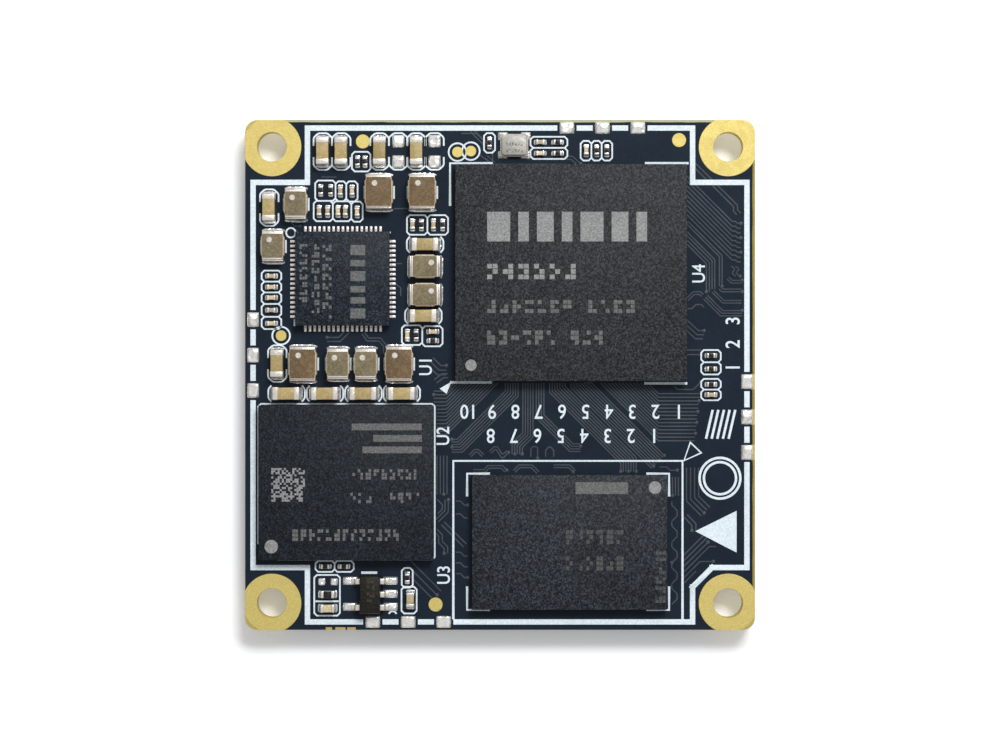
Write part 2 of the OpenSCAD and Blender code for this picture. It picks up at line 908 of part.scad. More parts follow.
module capacitor_end_caps() {
    color("#d2d6d8")
        on_board(bulk_spots)
            end_cups(bulk_size, bulk_cap);
}

module small_capacitor_ceramics() {
    color("#c4b48c") {
        on_board(medium_cap_spots)
            ceramic(medium_size);
        on_board(small_cap_spots)
            ceramic(small_size);
    }
}

module small_capacitor_end_caps() {
    color("#d2d6d8") {
        on_board(medium_cap_spots)
            end_cups(medium_size, medium_cap);
        on_board(small_cap_spots)
            end_cups(small_size, small_cap);
    }
}

module resistor_plates() {
    color("#e8e6df") {
        on_board(medium_res_spots)
            resistor_plate(medium_res_size);
        on_board(small_res_spots)
            resistor_plate(small_res_size);
    }
}

module resistor_coats() {
    color("#16181b") {
        on_board(medium_res_spots)
            resistor_coat(medium_res_size, medium_res_cap);
        on_board(small_res_spots)
            resistor_coat(small_res_size, small_res_cap);
    }
}

module resistor_end_caps() {
    color("#d2d6d8") {
        on_board(medium_res_spots)
            end_channels(medium_res_size, medium_res_cap);
        on_board(small_res_spots)
            end_channels(small_res_size, small_res_cap);
    }
}

// The solder under and against every chip, coil and lead that the sizes above describe
module solder_joints() {
    color("#dfe2e4") {
        on_board(bulk_spots)
            solder_ends(bulk_size, bulk_cap, large_toe);
        on_board(medium_cap_spots)
            solder_ends(medium_size, medium_cap, medium_toe);
        on_board(small_cap_spots)
            solder_ends(small_size, small_cap, small_toe);
        on_board(medium_res_spots)
            solder_ends(medium_res_size, medium_res_cap, medium_toe);
        on_board(small_res_spots)
            solder_ends(small_res_size, small_res_cap, small_toe);
        for (i = coil_ids)
            at_coil(i)
                solder_ends(coil_size(i), coil_foot_l, large_toe);
        on_board([crystal_spot])
            crystal_solder();
        on_board([[reg_at.x, reg_at.y, 0]])
            regulator_solder();
    }
}

// A film of solder under each foot of the regulator and on the land beyond it
module regulator_solder() {
    film = reg_lead_l / 2 + reg_lead_t / 2 + reg_land;
    for (side = [-1, 1], k = side > 0 ? [-1:1] : [-1:2:1])
        translate([side * (reg_w / 2 + reg_lead_l + reg_land - film / 2), k * reg_pitch, 0])
            block([film, reg_lead_w, solder_t], 0);
}

// Connectors underneath, drawn with the board at zero and the mating face upwards

module at_connector(i) {
    translate([conn_places[i].x, conn_places[i].y, conn_h])
        rotate(conn_places[i][2])
            rotate([180, 0, 0])
                children();
}

// A trough with low long walls between two taller end blocks
module connector_housing(i) {
    trough = conn_w - 2 * conn_wall;
    run = conn_l - 2 * conn_end;
    color("#1d1e20")
        at_connector(i)
            difference() {
                block([conn_l, conn_w, conn_h], 0);
                block([run, conn_w + 2 * eps, conn_h], conn_wall_h);
                block([run, trough, conn_h], conn_floor);
            }
}

// Each contact runs from its tail up the wall's outside, over it and down inside the trough
module connector_contacts(i) {
    t = contact_t;
    y0 = conn_w / 2;
    y1 = y0 - conn_wall;
    zi = conn_floor + t;
    zw = conn_wall_h;
    reach = (conn_pins - 1) / 2;
    color("#e0cc73")
        at_connector(i)
            for (side = [90, 270], k = [-reach:reach])
                rotate(side)
                    translate([0, k * conn_pitch, 0])
                        across(contact_w)
                            polygon([
                                [y0, 0], [y0 + contact_tail, 0], [y0 + contact_tail, t], [y0 + t, t],
                                [y0 + t, zw + t], [y1 - t, zw + t], [y1 - t, zi], [y1, zi],
                                [y1, zw], [y0, zw]
                            ]);
}

circuit_board();
screw_hole_plating();
gold_spots();
printed_border();
edge_pads();
bare_lands();
processor_moulding();
processor_carrier();
processor_balls();
storage_moulding();
storage_carrier();
storage_balls();
memory_moulding();
memory_carrier();
memory_balls();
power_chip_body();
power_chip_terminals();
power_chip_heat_pad();
power_chip_solder();
crystal_base();
crystal_lid();
regulator_body();
regulator_leads();
for (i = coil_ids) {
    coil_moulding(i);
    coil_end_plates(i);
}
capacitor_ceramics();
capacitor_end_caps();
small_capacitor_ceramics();
small_capacitor_end_caps();
resistor_plates();
resistor_coats();
resistor_end_caps();
solder_joints();
for (i = [0:len(conn_names) - 1]) {
    connector_housing(i);
    connector_contacts(i);
}
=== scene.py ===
import math
import random

import bmesh
import bpy
from mathutils import Matrix, Vector


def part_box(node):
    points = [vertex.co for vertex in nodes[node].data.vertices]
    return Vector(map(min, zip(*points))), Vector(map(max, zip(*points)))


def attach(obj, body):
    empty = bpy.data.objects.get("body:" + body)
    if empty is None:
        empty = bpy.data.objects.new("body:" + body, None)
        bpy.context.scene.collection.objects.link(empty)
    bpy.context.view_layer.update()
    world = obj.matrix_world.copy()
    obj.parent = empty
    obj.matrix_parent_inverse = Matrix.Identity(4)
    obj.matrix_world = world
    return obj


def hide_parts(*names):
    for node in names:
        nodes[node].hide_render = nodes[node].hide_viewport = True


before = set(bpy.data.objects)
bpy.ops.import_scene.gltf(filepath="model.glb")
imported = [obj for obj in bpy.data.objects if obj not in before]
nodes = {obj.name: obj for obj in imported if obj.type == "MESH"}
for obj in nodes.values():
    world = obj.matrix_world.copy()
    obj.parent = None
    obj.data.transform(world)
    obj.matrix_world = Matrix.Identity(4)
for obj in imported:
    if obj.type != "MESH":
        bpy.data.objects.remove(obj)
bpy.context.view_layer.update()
scene = bpy.context.scene
print("stage: frame loaded,", len(nodes), "nodes")

# Shapes are drawn in millimetres and scaled to metres as they are finished
toMm = Matrix.Scale(1000, 4)
toMetres = Matrix.Scale(0.001, 4)
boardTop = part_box("circuit_board")[1].z * 1000
quarter = math.pi / 2


# Node helpers

def feed(tree, inputs, sockets):
    for key, value in sockets.items():
        if isinstance(value, bpy.types.NodeSocket):
            tree.links.new(value, inputs[key])
        else:
            inputs[key].default_value = value


def put(tree, kind, sockets=None, **props):
    node = tree.nodes.new(kind)
    for key, value in props.items():
        setattr(node, key, value)
    feed(tree, node.inputs, sockets or {})
    return node


# Each input is given as a kind of socket, or as its first value
def newTree(name, kind, inputs, outputKind, outputs):
    tree = bpy.data.node_groups.new(name, kind)
    for label, value in inputs.items():
        socketKind = value if isinstance(value, str) else "Int" if isinstance(value, int) else "Float"
        socket = tree.interface.new_socket(label, in_out="INPUT", socket_type="NodeSocket" + socketKind)
        if value != socketKind:
            socket.default_value = value
    for label in outputs:
        tree.interface.new_socket(label, in_out="OUTPUT", socket_type="NodeSocket" + outputKind)
    return tree, tree.nodes.new("NodeGroupInput").outputs, tree.nodes.new("NodeGroupOutput").inputs


def rgba(colour):
    return (*colour, 1.0)


def blendColours(tree, factor, first, second):
    return put(tree, "ShaderNodeMix", {0: factor, 6: first, 7: second}, data_type="RGBA").outputs[2]


def calc(tree, operation, first, second=0.0):
    return put(tree, "ShaderNodeMath", {0: first, 1: second}, operation=operation).outputs[0]


def ramp(tree, value, low, high, toLow=0.0, toHigh=1.0):
    sockets = {"Value": value, "From Min": low, "From Max": high, "To Min": toLow, "To Max": toHigh}
    return put(tree, "ShaderNodeMapRange", sockets, interpolation_type="SMOOTHSTEP").outputs["Result"]


def plusShare(tree, first, second, share):
    return calc(tree, "ADD", first, calc(tree, "MULTIPLY", second, share))


def noise(tree, vector, scale, detail=2.0, more=None):
    sockets = {"Vector": vector, "Scale": scale, "Detail": detail, **(more or {})}
    return put(tree, "ShaderNodeTexNoise", sockets).outputs["Fac"]


# Shared shader effects: each gives masks and heights only

def makeGrain():
    tree, given, result = newTree("fillerGrain", "ShaderNodeTree", {
        "Vector": "Vector", "Scale": 8.0, "Fleck Share": 0.16, "Cell Share": 0.0,
    }, "Float", ("Mask", "Flecks", "Height"))
    height = noise(tree, given["Vector"], given["Scale"], 3.0, {"Roughness": 0.65})
    finer = calc(tree, "MULTIPLY", given["Scale"], 1.35)
    cells = put(tree, "ShaderNodeTexVoronoi", {"Vector": given["Vector"], "Scale": finer}).outputs
    pick = put(tree, "ShaderNodeSeparateColor", {"Color": cells["Color"]}).outputs
    chosen = calc(tree, "LESS_THAN", pick[0], given["Fleck Share"])
    waves = ramp(tree, height, 0.4, 0.62)
    change = calc(tree, "SUBTRACT", calc(tree, "POWER", pick[1], 2.0), waves)
    dot = ramp(tree, cells["Distance"], 0.15, 0.5, 1.0, 0.0)
    feed(tree, result, {
        "Mask": plusShare(tree, waves, change, given["Cell Share"]),
        "Flecks": calc(tree, "MULTIPLY", chosen, dot), "Height": height,
    })
    return tree


def makeSheen():
    tree, given, result = newTree("metalSheen", "ShaderNodeTree", {
        "Vector": "Vector", "Scale": 3.0, "Smooth": 0.2, "Rough": 0.4, "Fine Share": 0.2,
    }, "Float", ("Tint", "Roughness", "Height"))
    waves = noise(tree, given["Vector"], given["Scale"], 2.0, {"Distortion": 0.6})
    fine = noise(tree, given["Vector"], calc(tree, "MULTIPLY", given["Scale"], 6.0))
    feed(tree, result, {
        "Tint": ramp(tree, fine, 0.35, 0.68),
        "Roughness": ramp(tree, waves, 0.3, 0.7, given["Smooth"], given["Rough"]),
        "Height": plusShare(tree, waves, fine, given["Fine Share"]),
    })
    return tree


# Where gold wraps over the board's edge: its corners, three pads on the right and three stretches in front
cornerFrom = 16.9
edgeLook = {
    "right": {"axis": "Y", "beyond": 18.70, "stretches": [(-5.77, 0.57), (-3.13, 0.57), (-0.49, 0.57)]},
    "front": {"axis": "X", "beyond": 18.80, "stretches": [(-12.75, 0.24), (-11.89, 0.38), (-11.07, 0.32)]},
}


def makePlating():
    tree, given, result = newTree("edgePlating", "ShaderNodeTree", {"Vector": "Vector"}, "Float", ("Mask",))
    axes = put(tree, "ShaderNodeSeparateXYZ", {0: given["Vector"]}).outputs
    outward = {"right": axes["X"], "front": calc(tree, "MULTIPLY", axes["Y"], -1.0)}
    beyond = [calc(tree, "GREATER_THAN", calc(tree, "ABSOLUTE", axes[k]), cornerFrom) for k in ("X", "Y")]
    mask = calc(tree, "MULTIPLY", *beyond)
    for side, look in edgeLook.items():
        near = calc(tree, "GREATER_THAN", outward[side], look["beyond"])
        for middle, half in look["stretches"]:
            off = calc(tree, "ABSOLUTE", calc(tree, "SUBTRACT", axes[look["axis"]], middle))
            part = calc(tree, "MULTIPLY", near, calc(tree, "LESS_THAN", off, half))
            mask = calc(tree, "MAXIMUM", mask, part)
    feed(tree, result, {"Mask": mask})
    return tree


grainTree = makeGrain()
sheenTree = makeSheen()
platingTree = makePlating()


# Every material by its name
finish = {}


def startMaterial(name):
    material = finish[name] = bpy.data.materials.new(name)
    material.use_nodes = True
    tree = material.node_tree
    place = put(tree, "ShaderNodeTexCoord").outputs["Object"]
    spot = put(tree, "ShaderNodeVectorMath", {0: place, "Scale": 1000.0}, operation="SCALE").outputs[0]
    return tree, tree.nodes["Principled BSDF"].inputs, spot


def addEffect(tree, group, sockets):
    return put(tree, "ShaderNodeGroup", sockets, node_tree=group).outputs


def bumpOf(tree, height, strength, distance):
    sockets = {"Height": height, "Strength": strength, "Distance": distance}
    return put(tree, "ShaderNodeBump", sockets).outputs["Normal"]


# Moulded, printed and ceramic surfaces: two tones, flecks and a fine bump
def mouldedSurface(name, look):
    tree, surface, spot = startMaterial(name)
    grain = addEffect(tree, grainTree, {
        "Vector": spot, "Scale": look["grain"], "Fleck Share": look.get("fleckShare", 0.16),
        "Cell Share": look.get("cells", 0.0),
    })
    dark, light, fleck = (rgba(tone) for tone in look["tones"])
    colour = blendColours(tree, grain["Mask"], dark, light)
    colour = blendColours(tree, grain["Flecks"], colour, fleck)
    depth = look.get("cloudDepth", 0.08)
    shade = ramp(tree, noise(tree, spot, look.get("cloud", 0.35)), 0.3, 0.7, 1.0 - depth, 1.0)
    if "tone" in look:
        tone = put(tree, "ShaderNodeAttribute", attribute_name="tone").outputs["Fac"]
        own = ramp(tree, tone, 0.0, 1.0, 1.0 - look["tone"], 1.0 + look["tone"])
        shade = calc(tree, "MULTIPLY", shade, own)
    shaded = put(tree, "ShaderNodeVectorMath", {0: colour, "Scale": shade}, operation="SCALE").outputs[0]
    feed(tree, surface, {
        "Base Color": shaded,
        "Roughness": ramp(tree, grain["Height"], 0.3, 0.7, look["rough"] - 0.06, look["rough"] + 0.08),
        "Specular IOR Level": look["specular"],
        "Normal": bumpOf(tree, grain["Height"], look["bump"], 0.00001),
    })


# Solder, tin and gold: bright metal that waves a little
def metalSurface(name, look):
    tree, surface, spot = startMaterial(name)
    sheen = addEffect(tree, sheenTree, {
        "Vector": spot, "Scale": look["waves"], "Smooth": look["smooth"], "Rough": look["rough"],
        "Fine Share": look["fine"],
    })
    feed(tree, surface, {
        "Base Color": blendColours(tree, sheen["Tint"], rgba(look["dull"]), rgba(look["bright"])),
        "Roughness": sheen["Roughness"], "Metallic": look["metallic"],
        "Normal": bumpOf(tree, sheen["Height"], look["bump"], look["bumpDepth"]),
    })


# Reading the frame

weld = 0.0005


def readNode(name):
    bm = bmesh.new()
    bm.from_mesh(nodes[name].data)
    bm.transform(toMm)
    bmesh.ops.remove_doubles(bm, verts=bm.verts, dist=weld)
    return bm


def islandBoxes(name):
    bm = readNode(name)
    unseen = set(bm.verts)
    boxes = []
    while unseen:
        queue = [unseen.pop()]
        points = []
        while queue:
            vert = queue.pop()
            points.append(vert.co.copy())
            for edge in vert.link_edges:
                other = edge.other_vert(vert)
                if other in unseen:
                    unseen.remove(other)
                    queue.append(other)
        low = Vector([min(p[i] for p in points) for i in range(3)])
        high = Vector([max(p[i] for p in points) for i in range(3)])
        boxes.append((low, high))
    bm.free()
    return sorted(boxes, key=lambda b: (round(b[0].x, 3), round(b[0].y, 3)))


# Finishing a piece

def keepPiece(name, mesh, replaced=(), materials=(), sharp=35):
    for material in materials:
        mesh.materials.append(finish[material])
    mesh.polygons.foreach_set("use_smooth", [True] * len(mesh.polygons))
    mesh.set_sharp_from_angle(angle=math.radians(sharp))
    piece = bpy.data.objects.new(name, mesh)
    scene.collection.objects.link(piece)
    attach(piece, "root")
    if replaced:
        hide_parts(*replaced)


def toMesh(name, bm):
    bmesh.ops.recalc_face_normals(bm, faces=bm.faces)
    bm.transform(toMetres)
    mesh = bpy.data.meshes.new(name)
    bm.to_mesh(mesh)
    bm.free()
    return mesh


def softened(name, width, segments=2, angle=30):
    bm = readNode(name)
    bmesh.ops.dissolve_limit(bm, angle_limit=math.radians(1), verts=bm.verts, edges=bm.edges)
    edges = [e for e in bm.edges if e.is_manifold and e.calc_face_angle(0) > math.radians(angle)]
    bmesh.ops.bevel(bm, geom=edges, offset=width, offset_type="OFFSET", segments=segments,
                    profile=0.5, affect="EDGES", clamp_overlap=True)
    return bm


def keepSoft(name, node, material, edge, segments=2, angle=30):
    keepPiece(name, toMesh(name, softened(node, edge, segments, angle)), [node], [material])


def boxInMm(node):
    return tuple(Vector(corner) * 1000 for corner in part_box(node))


def addBox(bm, low, high, radius, segments=2):
    verts = bmesh.ops.create_cube(bm, size=1)["verts"]
    low, high = Vector(low), Vector(high)
    for vert in verts:
        vert.co = Vector([low[i] + (vert.co[i] + 0.5) * (high[i] - low[i]) for i in range(3)])
    if radius:
        edges = list({e for v in verts for e in v.link_edges})
        bmesh.ops.bevel(bm, geom=edges, offset=radius, offset_type="OFFSET", segments=segments,
                        profile=0.5, affect="EDGES", clamp_overlap=True)


def addCone(bm, radius, taper, depth, sides, place):
    verts = bmesh.ops.create_cone(bm, cap_ends=True, segments=sides, radius1=radius,
                                  radius2=radius * taper, depth=depth)["verts"]
    bmesh.ops.translate(bm, verts=verts, vec=place)


# Solder that sags from an end face down to its toe, closed underneath
filletLook = {"sag": 2.4, "taper": 0.3, "taperFrom": 0.6, "square": 6}


def addFillet(bm, place, toe, width, rise, flare=0.1, steps=5, across=6):
    rows = []
    for i in range(steps + 1):
        s = i / steps
        crest = rise * (1 - s) ** filletLook["sag"]
        late = max(0.0, s - filletLook["taperFrom"]) / (1 - filletLook["taperFrom"])
        half = width / 2 * (1 + flare * math.sin(s * quarter)) * (1 - filletLook["taper"] * late)
        row = []
        for j in range(across + 1):
            t = 2 * j / across - 1
            z = crest * (1 - t ** filletLook["square"]) ** 0.5
            row.append(bm.verts.new(place @ Vector((toe * s, half * t, z))))
        rows.append(row)
    for first, second in zip(rows, rows[1:]):
        for j in range(across):
            bm.faces.new((first[j], second[j], second[j + 1], first[j + 1]))
    bm.faces.new(rows[0])
    rim = [row[0] for row in rows] + rows[-1][1:] + [row[-1] for row in reversed(rows[:-1])]
    bm.faces.new(list(reversed(rim)))


# A pillow of solder on a flat land
pillowLook = {"lumps": 3, "lumpFall": 5, "edge": 0.6, "cornerPull": 0.06}


def addPillow(bm, place, length, width, height, cells=6, power=4, lump=0.0, seed=0):
    dice = random.Random(seed)
    lumps = [(dice.uniform(-0.5, 0.5), dice.uniform(-0.5, 0.5), dice.uniform(-lump, lump))
             for _ in range(pillowLook["lumps"])]
    grid = []
    for i in range(cells + 1):
        row = []
        for j in range(cells + 1):
            u, v = 2 * i / cells - 1, 2 * j / cells - 1
            u, v = math.sin(u * quarter), math.sin(v * quarter)
            z = height * ((1 - u ** power) * (1 - v ** power)) ** pillowLook["edge"]
            fall = pillowLook["lumpFall"]
            z *= 1 + sum(d * math.exp(-((u - a) ** 2 + (v - b) ** 2) * fall) for a, b, d in lumps)
            pull = 1 - pillowLook["cornerPull"] * (u * v) ** 2
            row.append(bm.verts.new(place @ Vector((u * pull * length / 2, v * pull * width / 2, z))))
        grid.append(row)
    for i in range(cells):
        for j in range(cells):
            bm.faces.new((grid[i][j], grid[i + 1][j], grid[i + 1][j + 1], grid[i][j + 1]))
    rim = [row[0] for row in grid] + grid[-1][1:]
    rim += [row[-1] for row in reversed(grid[:-1])] + grid[0][-2:0:-1]
    bm.faces.new(list(reversed(rim)))


def placeAt(x, y, turn=0.0, z=0.0):
    return Matrix.Translation((x, y, z)) @ Matrix.Rotation(turn, 4, "Z")


# Geometry Nodes: copies of a template set on points, each with a little of its own turn and tone

def makeScatter():
    tree, given, result = newTree("partScatter", "GeometryNodeTree", {
        "Geometry": "Geometry", "Template": "Object", "Material": "Material", "Turn Jitter": 0.0, "Seed": 1,
    }, "Geometry", ("Geometry",))
    turn = put(tree, "GeometryNodeInputNamedAttribute", {"Name": "turn"}, data_type="FLOAT")
    skew = put(tree, "FunctionNodeRandomValue", {
        2: calc(tree, "MULTIPLY", given["Turn Jitter"], -1.0), 3: given["Turn Jitter"], "Seed": given["Seed"],
    }, data_type="FLOAT").outputs[1]
    whole = calc(tree, "ADD", turn.outputs["Attribute"], skew)
    angles = put(tree, "ShaderNodeCombineXYZ", {"Z": whole}).outputs[0]
    template = put(tree, "GeometryNodeObjectInfo", {"Object": given["Template"]}).outputs["Geometry"]
    copies = put(tree, "GeometryNodeInstanceOnPoints", {
        "Points": given["Geometry"], "Instance": template, "Rotation": angles,
    }).outputs["Instances"]
    tone = put(tree, "FunctionNodeRandomValue", {"Seed": given["Seed"]}, data_type="FLOAT").outputs[1]
    toned = put(tree, "GeometryNodeStoreNamedAttribute", {
        "Geometry": copies, "Name": "tone", "Value": tone,
    }, data_type="FLOAT", domain="INSTANCE").outputs["Geometry"]
    real = put(tree, "GeometryNodeRealizeInstances", {"Geometry": toned}).outputs["Geometry"]
    done = put(tree, "GeometryNodeSetMaterial", {"Geometry": real, "Material": given["Material"]}).outputs[0]
    feed(tree, result, {"Geometry": done})
    return tree


scatterTree = makeScatter()


def evaluated(name, data, tree=None, values=None):
    holder = bpy.data.objects.new(name + "Holder", data)
    scene.collection.objects.link(holder)
    if tree:
        modifier = holder.modifiers.new(name, "NODES")
        modifier.node_group = tree
        for item in tree.interface.items_tree:
            if item.in_out == "INPUT" and item.name in values:
                modifier[item.identifier] = values[item.name]
    bpy.context.view_layer.update()
    graph = bpy.context.evaluated_depsgraph_get()
    mesh = bpy.data.meshes.new_from_object(holder.evaluated_get(graph), depsgraph=graph)
    mesh.name = name
    bpy.data.objects.remove(holder)
    return mesh


def scatter(name, spots, templateBm, material, seed, turnJitter=0.0):
    template = bpy.data.objects.new(name + "Template", toMesh(name + "Template", templateBm))
    template.data.polygons.foreach_set("use_smooth", [True] * len(template.data.polygons))
    scene.collection.objects.link(template)
    points = bpy.data.meshes.new(name + "Points")
    points.from_pydata([(s["x"] * 0.001, s["y"] * 0.001, boardTop * 0.001) for s in spots], [], [])
    turns = points.attributes.new("turn", "FLOAT", "POINT")
    turns.data.foreach_set("value", [s["turn"] for s in spots])
    mesh = evaluated(name, points, scatterTree, {
        "Template": template, "Material": finish[material], "Turn Jitter": turnJitter, "Seed": seed})
    mesh.materials.clear()
    mesh.materials.append(finish[material])
    bpy.data.objects.remove(template)
    return mesh


def joined(name, meshes):
    bm = bmesh.new()
    for mesh in meshes:
        bm.from_mesh(mesh)
    result = bpy.data.meshes.new(name)
    bm.to_mesh(result)
    bm.free()
    for material in meshes[0].materials:
        result.materials.append(material)
    return result


# Materials

platedGold = (0.64, 0.52, 0.18)


def maskSurface(name, look, rim=None):
    tree, surface, spot = startMaterial(name)
    cloud, fine = noise(tree, spot, 0.5, 4.0), noise(tree, spot, 9.0)
    mixed = plusShare(tree, calc(tree, "MULTIPLY", cloud, 0.6), fine, 0.4)
    colour = blendColours(tree, ramp(tree, mixed, 0.35, 0.65), rgba(look["deep"]), rgba(look["lift"]))
    if rim:  # bare laminate shows beyond the mask along the rear and right edges
        axes = put(tree, "ShaderNodeSeparateXYZ", {0: spot}).outputs
        wander = calc(tree, "MULTIPLY", calc(tree, "SUBTRACT", cloud, 0.5), 0.12)
        for side, axis in (("right", "X"), ("rear", "Y")):
            mask = ramp(tree, calc(tree, "ADD", axes[axis], wander), rim[side], rim[side] + 0.04)
            bare = blendColours(tree, fine, rgba(rim[side + "Dark"]), rgba(rim[side + "Light"]))
            colour = blendColours(tree, mask, colour, bare)
        plated = addEffect(tree, platingTree, {"Vector": spot})["Mask"]
        colour = blendColours(tree, plated, colour, rgba(platedGold))
        feed(tree, surface, {"Metallic": plated})
    feed(tree, surface, {
        "Base Color": colour, "Specular IOR Level": look["specular"],
        "Roughness": ramp(tree, fine, 0.3, 0.7, look["rough"] - 0.05, look["rough"] + 0.08),
        "Normal": bumpOf(tree, plusShare(tree, cloud, fine, 0.2), 0.25, 0.00002),
    })


maskSurface("navySolderMask", {
    "deep": (0.0065, 0.0135, 0.0250), "lift": (0.0095, 0.0180, 0.0310), "rough": 0.36, "specular": 0.12,
}, {
    "right": 18.80, "rightDark": (0.21, 0.155, 0.022), "rightLight": (0.40, 0.30, 0.055),
    "rear": 18.82, "rearDark": (0.34, 0.35, 0.19), "rearLight": (0.54, 0.55, 0.34),
})
maskSurface("maskOverCopper", {
    "deep": (0.046, 0.056, 0.068), "lift": (0.074, 0.084, 0.097), "rough": 0.34, "specular": 0.15,
})


def laminateSurface(name, look):
    tree, surface, spot = startMaterial(name)
    plies = put(tree, "ShaderNodeTexWave", {"Vector": spot, "Scale": 1.6, "Distortion": 1.2, "Detail": 2.0},
                bands_direction="Z").outputs["Fac"]
    fibre = noise(tree, spot, 14.0, 3.0)
    resin = blendColours(tree, plies, rgba(look["plyDark"]), rgba(look["plyLight"]))
    resin = blendColours(tree, ramp(tree, fibre, 0.45, 0.7), resin, rgba(look["fibre"]))
    plated = addEffect(tree, platingTree, {"Vector": spot})["Mask"]
    feed(tree, surface, {
        "Base Color": blendColours(tree, plated, resin, rgba(platedGold)), "Metallic": plated,
        "Roughness": ramp(tree, plated, 0.0, 1.0, look["rough"], look["platedRough"]),
        "Normal": bumpOf(tree, fibre, 0.4, 0.00002),
    })


laminateSurface("cutLaminate", {
    "plyDark": (0.060, 0.054, 0.020), "plyLight": (0.155, 0.135, 0.050), "fibre": (0.23, 0.21, 0.11),
    "rough": 0.7, "platedRough": 0.4,
})

metalLooks = {
    "goldPlate": {
        "bright": (0.69, 0.575, 0.205), "dull": (0.605, 0.485, 0.145), "waves": 1.5, "smooth": 0.5,
        "rough": 0.64, "bump": 0.4, "bumpDepth": 0.00004, "fine": 0.12, "metallic": 0.65},
    "meltedSolder": {
        "bright": (0.90, 0.89, 0.875), "dull": (0.68, 0.67, 0.655), "waves": 1.4, "smooth": 0.16,
        "rough": 0.36, "bump": 0.85, "bumpDepth": 0.00014, "fine": 0.04, "metallic": 0.7},
    "padSolder": {
        "bright": (0.97, 0.965, 0.95), "dull": (0.84, 0.82, 0.77), "waves": 0.8, "smooth": 0.17,
        "rough": 0.28, "bump": 0.7, "bumpDepth": 0.0004, "fine": 0.0, "metallic": 0.75},
    "fineSolder": {
        "bright": (0.98, 0.91, 0.88), "dull": (0.90, 0.83, 0.80), "waves": 2.0, "smooth": 0.25,
        "rough": 0.4, "bump": 0.3, "bumpDepth": 0.00004, "fine": 0.05, "metallic": 0.45},
    "tinPlate": {
        "bright": (0.87, 0.825, 0.755), "dull": (0.71, 0.665, 0.60), "waves": 2.5, "smooth": 0.25,
        "rough": 0.42, "bump": 0.4, "bumpDepth": 0.00005, "fine": 0.08, "metallic": 0.7},
    "crystalLid": {
        "bright": (0.47, 0.465, 0.425), "dull": (0.38, 0.375, 0.345), "waves": 2.0, "smooth": 0.55,
        "rough": 0.7, "bump": 0.25, "bumpDepth": 0.00002, "fine": 0.2, "metallic": 1.0},
}
for name, look in metalLooks.items():
    metalSurface(name, look)

